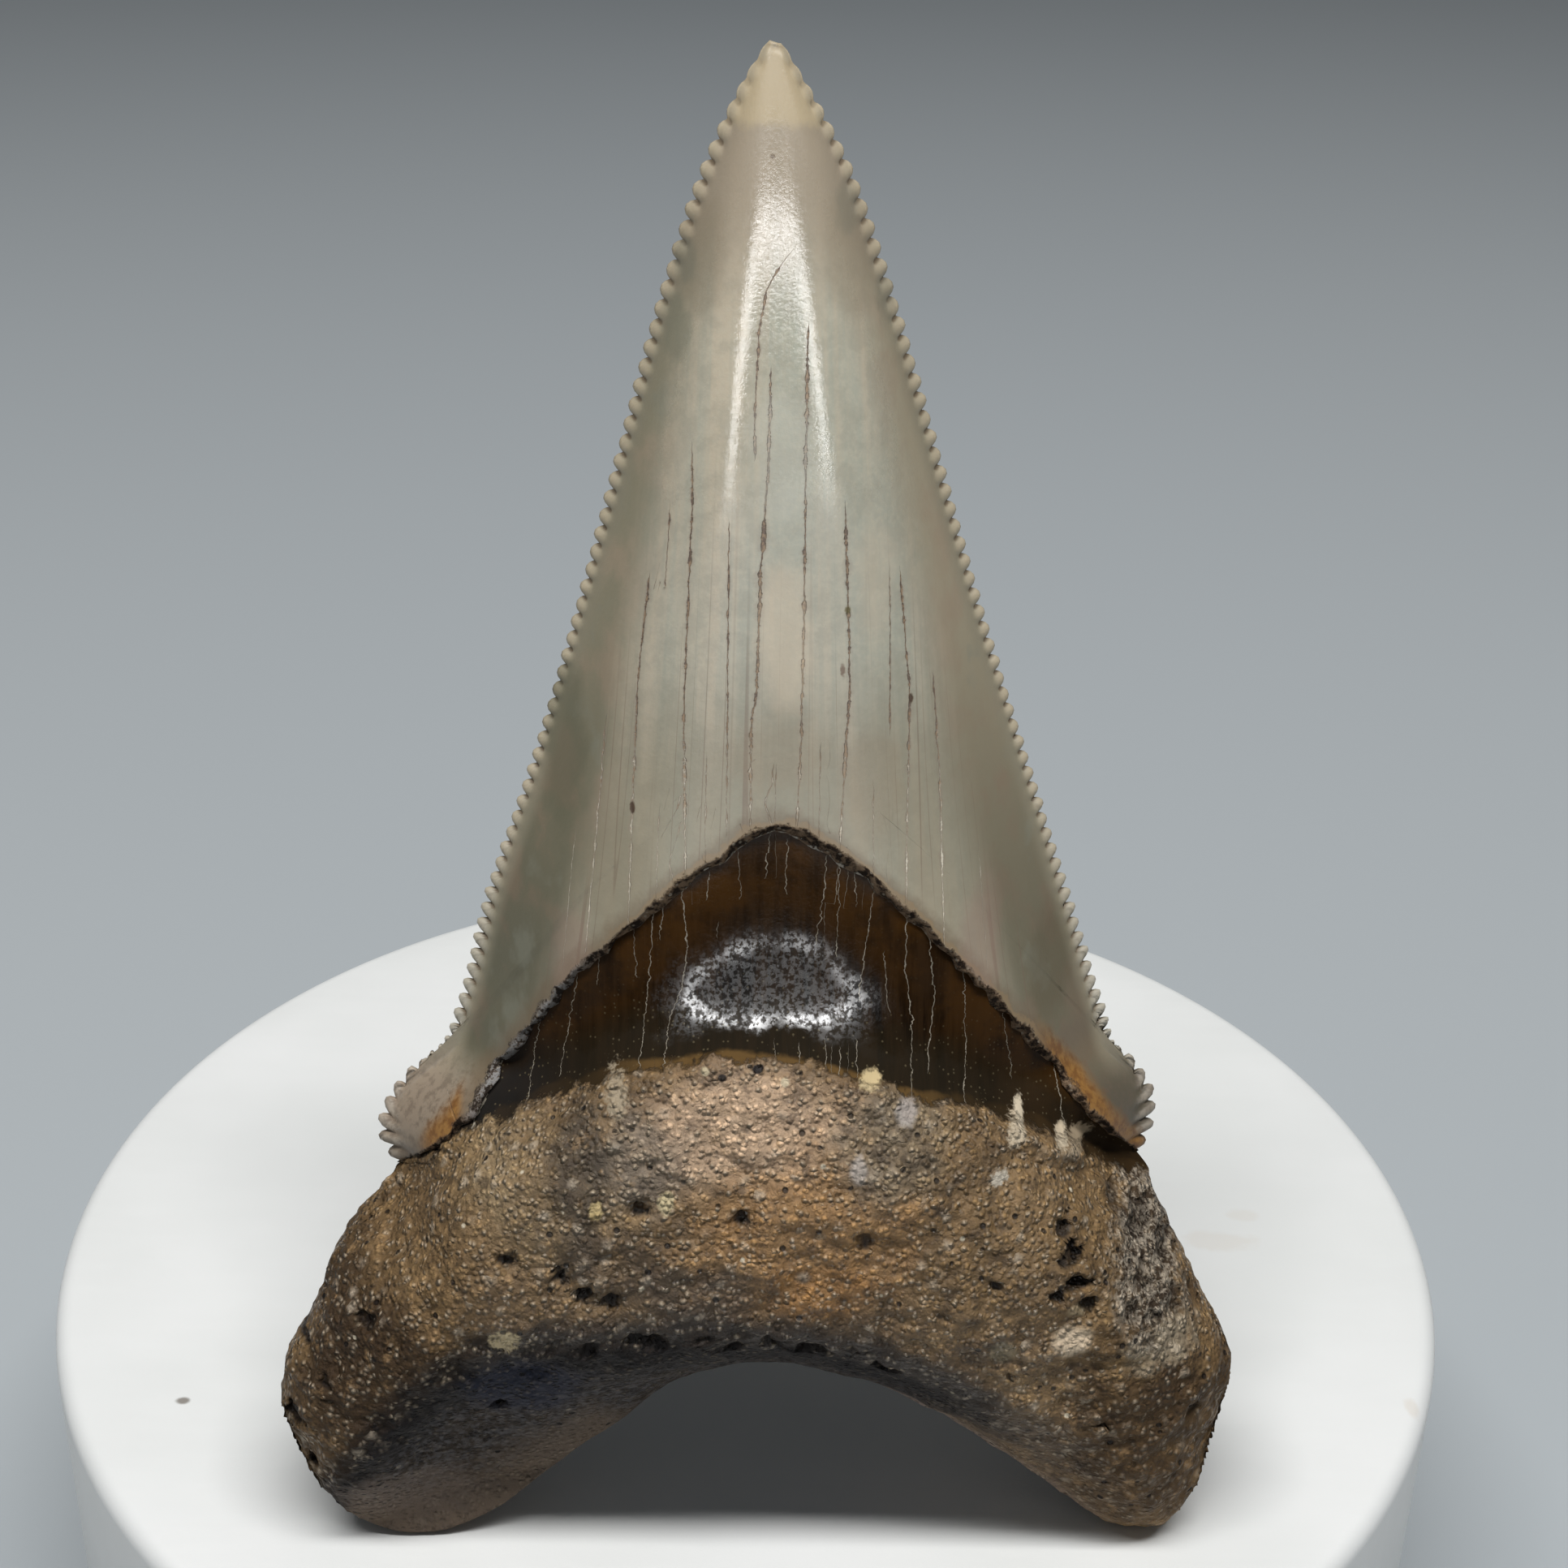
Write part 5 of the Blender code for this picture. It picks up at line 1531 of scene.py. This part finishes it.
    # Pale grains are real crystals, painted brightest on their rounded tops as a painted highlight.
    light = maths(tree, "MULTIPLY", fade(tree, small["Shade"], 0.55, 1.0, 0.0, 0.85),
                  small["Height"])
    colour = blend(tree, maths(tree, "MULTIPLY", light, sandy), colour, (0.62, 0.50, 0.36, 1.0))
    pale = maths(tree, "MULTIPLY", fade(tree, large["Shade"], 0.86, 0.97, 0.0, 0.6),
                 large["Height"])
    colour = blend(tree, maths(tree, "MULTIPLY", pale, sandy), colour, (0.60, 0.50, 0.38, 1.0))
    bits = use_group(tree, CRUMBS, {"Vector": mm, "Scale": 1.25, "Amount": 0.06, "Size": 0.18})
    colour = blend(tree, maths(tree, "MULTIPLY", bits, sandy), colour, (0.62, 0.54, 0.40, 1.0))
    colour = patches(tree, mm, colour, [
        (12.0, 10.6, 0.9, 0.7, 0.22, 1.2, 0.9, (0.72, 0.57, 0.40)),
        (9.1, 10.3, 0.6, 0.6, 0.22, 1.2, 0.6, (0.36, 0.30, 0.19)),
        (-11.2, 10.7, 0.6, 0.55, 0.5, 3.2, 1.3, (0.66, 0.52, 0.30)),
        (-7.4, 16.8, 0.26, 0.36, 0.35, 4.0, 1.2, (0.54, 0.41, 0.19)),
        (-4.6, 17.2, 0.32, 0.46, 0.35, 4.0, 1.2, (0.62, 0.51, 0.30)),
        (12.2, 12.0, 0.5, 0.35, 0.22, 2.4, 0.7, (0.42, 0.33, 0.20)),
        (4.9, 20.6, 0.45, 0.5, 0.22, 2.4, 0.8, (0.52, 0.47, 0.42)),
        (3.0, 18.6, 0.35, 0.55, 0.22, 2.4, 0.8, (0.55, 0.48, 0.42)),
    ])
    # The low places of the grain noises, which the bump below sinks, are painted dark as painted
    # shade.
    colour = blend(tree, fade(tree, grain, 0.44, 0.28, 0.0, 0.65), colour,
                   (0.040, 0.025, 0.014, 1.0))
    colour = blend(tree, fade(tree, fine, 0.42, 0.25, 0.0, 0.35), colour, (0.03, 0.02, 0.014, 1.0))
    # Pores, slots and pits are painted nearly black as painted shade inside the holes.
    pores = use_group(tree, CRUMBS, {"Vector": mm, "Scale": 1.5, "Amount": 0.22, "Size": 0.24})
    slots = use_group(tree, CRUMBS, {"Vector": stretch(tree, mm, (0.8, 1.0, 1.5)), "Scale": 3.6,
                                     "Amount": 0.75, "Size": 0.36})
    slots = maths(tree, "MULTIPLY", slots,
                  maths(tree, "MULTIPLY", fade(tree, under, 6.0, 2.0, 0.25, 1.0),
                                                 shaded_underside))
    pores = maths(tree, "MAXIMUM", pores, slots)
    colour = blend(tree, maths(tree, "MULTIPLY", pores, 0.85), colour, (0.010, 0.008, 0.008, 1.0))
    deep = maths(tree, "MULTIPLY", fade(tree, marks["pit"], 0.08, 0.45),
                 fade(tree, parts[0], 11.0, 14.0, 0.9, 0.55))
    colour = blend(tree, deep, colour, (0.014, 0.010, 0.008, 1.0))
    height = maths(tree, "MULTIPLY", maths(tree, "MULTIPLY", small["Height"], small["Shade"]), 0.26)
    height = maths(tree, "MULTIPLY_ADD", maths(tree, "MULTIPLY", large["Height"], large["Shade"]),
                   0.16, height)
    height = maths(tree, "MULTIPLY_ADD", grain, 0.13, height)
    height = maths(tree, "MULTIPLY_ADD", fine, 0.06, height)
    height = maths(tree, "MULTIPLY", height, maths(tree, "MULTIPLY_ADD", sandy, 0.6, 0.4))
    height = maths(tree, "MULTIPLY_ADD", pores, -0.15, height)
    gloss = maths(tree, "MULTIPLY_ADD", small["Shade"], -0.42, 0.66)
    gloss = mix_value(tree, shaded_underside, gloss, 0.58)
    outer = fade(tree, maths(tree, "ABSOLUTE", parts[0]), 10.5, 14.0)
    shine = mix_value(tree, maths(tree, "MAXIMUM", shaded_underside, outer), 0.30, 0.10)
    return colour, grain, fine, height, gloss, shine


def band_colour(tree, mm, parts, marks):
    """Satin band: chocolate brown with amber under the chevron, a dusty lower strip and a painted
    grey-blue sheen at its lower left.
    """
    fibres = noise_value(tree, stretch(tree, mm, (2.4, 0.2, 0.22)), 1.0, 5.0, 0.65)
    cloud = noise_value(tree, mm, 0.55, 4.0, 0.6)
    colour = blend(tree, fade(tree, fibres, 0.38, 0.62), (0.004, 0.0025, 0.0015, 1.0),
                   (0.022, 0.012, 0.0055, 1.0))
    glow = maths(tree, "MULTIPLY", fade(tree, marks["rim_gap"], 5.4, 1.4),
                 fade(tree, cloud, 0.36, 0.62, 0.35, 1.0))
    colour = blend(tree, maths(tree, "MULTIPLY", glow, 0.75), colour, (0.070, 0.029, 0.005, 1.0))
    dust = maths(tree, "MULTIPLY_ADD", maths(tree, "SUBTRACT", cloud, 0.5), 2.2,
                 marks["shoulder_gap"])
    colour = blend(tree, fade(tree, dust, -2.4, -0.8, 0.0, 0.7), colour,
                   (0.021, 0.0155, 0.0085, 1.0))
    # The grey-blue tint at the band's lower left is a painted sheen, a painted reflection.
    blue = maths(tree, "MULTIPLY", fade(tree, parts[0], -7.5, -11.0),
                 fade(tree, dust, -2.0, -0.5, 0.1, 0.7))
    colour = blend(tree, blue, colour, (0.012, 0.013, 0.014, 1.0))
    specks = use_group(tree, CRUMBS, {"Vector": mm, "Scale": 5.0, "Amount": 0.38, "Size": 0.30})
    colour = blend(tree, maths(tree, "MULTIPLY", specks, fade(tree, dust, -4.0, -0.4, 0.08, 0.7)),
                   colour,
                   (0.115, 0.092, 0.052, 1.0))
    lip = fade(tree, maths(tree, "MULTIPLY_ADD", maths(tree, "SUBTRACT", cloud, 0.5), 0.6,
                           marks["shoulder_gap"]), -0.06, 0.12)
    lip = maths(tree, "MULTIPLY", lip, fade(tree, maths(tree, "ABSOLUTE", parts[0]), 8.0, 4.5, 0.1,
                                            0.9))
    return blend(tree, lip, colour, (0.130, 0.075, 0.026, 1.0)), fibres, dust


def make_bone():
    """Porous root bone and the satin band in one finish."""
    material, tree, shader = new_material("root bone and band")
    mm = tooth_millimetres(tree)
    parts = add(tree, "ShaderNodeSeparateXYZ", {0: mm}).outputs
    marks = {name: attribute(tree, name) for name in
             ("rim_gap", "shoulder_gap", "bone", "pit", "under_fold", "edge_gap", "side_a",
              "side_b",
              "near_a", "near_b")}
    rough_bone, grain, fine, height, bone_gloss, bone_shine = bone_colour(tree, mm, parts, marks)
    band, fibres, dust = band_colour(tree, mm, parts, marks)
    line, _ = crack_lines(tree, mm, marks, {"Width": 0.022, "Wander": 0.50, "Uneven": 0.5})
    band = blend(tree, maths(tree, "MULTIPLY", line, 0.8), band, (0.42, 0.37, 0.29, 1.0))
    ragged = maths(tree, "MULTIPLY_ADD", maths(tree, "SUBTRACT", grain, 0.5), 1.4, marks["bone"])
    is_bone = fade(tree, ragged, 0.3, 0.62)
    skin = patches(tree, mm, blend(tree, is_bone, band, rough_bone), [
        (9.6, 19.0, 0.40, 0.45, 0.5, 4.5, 1.0, (0.58, 0.48, 0.34)),
        (9.9, 19.4, 0.20, 0.42, 0.4, 5.0, 1.0, (0.66, 0.56, 0.41)),
        (3.5, 21.8, 0.45, 0.32, 0.4, 4.5, 1.2, (0.60, 0.47, 0.26)),
        (-6.6, 21.1, 0.45, 0.8, 0.5, 4.0, 0.8, (0.44, 0.36, 0.25)),
        (12.6, 17.5, 0.8, 0.4, 0.5, 4.0, 0.8, (0.46, 0.36, 0.24)),
        (11.8, 18.0, 0.35, 0.28, 0.5, 5.0, 1.0, (0.58, 0.48, 0.34)),
        (8.8, 17.7, 0.4, 0.3, 0.5, 5.0, 1.0, (0.56, 0.50, 0.40)),
        (5.0, 20.7, 0.4, 0.4, 0.5, 4.0, 0.8, (0.40, 0.34, 0.30)),
        (-3.07, 22.35, 0.17, 0.17, 0.1, 4.0, 1.2, (0.60, 0.50, 0.32)),
        (0.09, 21.88, 0.17, 0.17, 0.1, 4.0, 1.2, (0.66, 0.55, 0.37)),
        (-0.98, 22.4, 0.26, 0.20, 0.15, 4.0, 1.2, (0.020, 0.014, 0.012)),
        (-2.4, 22.1, 0.20, 0.16, 0.15, 4.0, 1.2, (0.025, 0.017, 0.012)),
    ])
    wire(tree, skin, shader.inputs["Base Color"])
    leather = noise_value(tree, mm, 5.0, 4.0, 0.7)
    band_gloss = fade(tree, leather, 0.36, 0.62, 0.12, 0.22)
    polished = use_group(tree, SOFT_PATCH, {"Vector": mm, "X": -0.7, "Z": 24.4, "Wide": 4.2,
                                            "Tall": 2.6, "Ragged": 0.2, "Cloud": 0.8})
    polished = maths(tree, "MULTIPLY", polished, fade(tree, dust, -0.5, -1.2))
    polished = maths(tree, "MULTIPLY", polished, maths(tree, "SUBTRACT", 1.0, is_bone))
    band_gloss = mix_value(tree, polished, band_gloss, fade(tree, leather, 0.40, 0.60, 0.30, 0.50))
    band_gloss = mix_value(tree, fade(tree, dust, -1.3, -0.6), band_gloss, 0.8)
    band_gloss = mix_value(tree, line, band_gloss, 0.6)
    wire(tree, mix_value(tree, is_bone, band_gloss, bone_gloss), shader.inputs["Roughness"])
    smooth = maths(tree, "MULTIPLY", fibres, 0.006)
    smooth = maths(tree, "MULTIPLY_ADD", fine, 0.003, smooth)
    smooth = maths(tree, "MULTIPLY_ADD", leather, 0.013, smooth)
    smooth = maths(tree, "MULTIPLY_ADD", line, -0.03, smooth)
    bump = add(tree, "ShaderNodeBump", {"Height": mix_value(tree, is_bone, smooth, height),
                                        "Strength": 1.0, "Distance": MM})
    wire(tree, bump.outputs[0], shader.inputs["Normal"])
    glint = maths(tree, "MULTIPLY", polished, fade(tree, leather, 0.46, 0.54, 0.06, 1.0))
    band_shine = mix_value(tree, glint, fade(tree, dust, -1.0, -2.0, 0.04, 0.07), 0.46)
    wire(tree, mix_value(tree, is_bone, band_shine, bone_shine),
         shader.inputs["Specular IOR Level"])
    worn = noise_value(tree, mm, 1.5, 4.0, 0.65)
    polish = maths(tree, "MULTIPLY", polished, fade(tree, worn, 0.40, 0.56, 0.25, 1.0))
    wire(tree, maths(tree, "MULTIPLY", polish, fade(tree, leather, 0.44, 0.56, 0.08, 1.0)),
         shader.inputs["Coat Weight"])
    shader.inputs["Coat Roughness"].default_value = 0.15
    shader.inputs["Coat IOR"].default_value = 2.1
    return material


root.data.materials.append(make_bone())
print("bone:", len(root.data.materials[0].node_tree.nodes), "nodes")

for piece in (crown, root):
    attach(piece, "root")
    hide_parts("tooth")

# %% [markdown]
# ## The floor
#
# A plain pale floor carries the block's shadow. It isn't part of the object, so it is
# marked as stage.

# %% Floor


def make_floor():
    """A wide pale sheet of paper under the block."""
    bpy.ops.object.select_all(action="DESELECT")
    bpy.ops.mesh.primitive_plane_add(size=6.0, location=(0.0, 1.0, 0.0))
    floor = bpy.context.object
    floor.name = "floor"
    bpy.ops.object.transform_apply(location=True, rotation=True, scale=True)
    material, tree, shader = new_material("pale paper")
    place = add(tree, "ShaderNodeTexCoord").outputs["Object"]
    cloud = noise_value(tree, place, 2.0, 3.0)
    colour = blend(tree, cloud, (0.42, 0.455, 0.475, 1.0), (0.46, 0.49, 0.505, 1.0))
    wire(tree, colour, shader.inputs["Base Color"])
    shader.inputs["Roughness"].default_value = 0.9
    floor.data.materials.append(material)
    return floor


make_floor()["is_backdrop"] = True

# %% Finish
visual_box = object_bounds()
for name, box in (("CAD", cad_box), ("visual", visual_box)):
    print(name, "box, mm:", [[round(v / MM, 2) for v in corner] for corner in box])
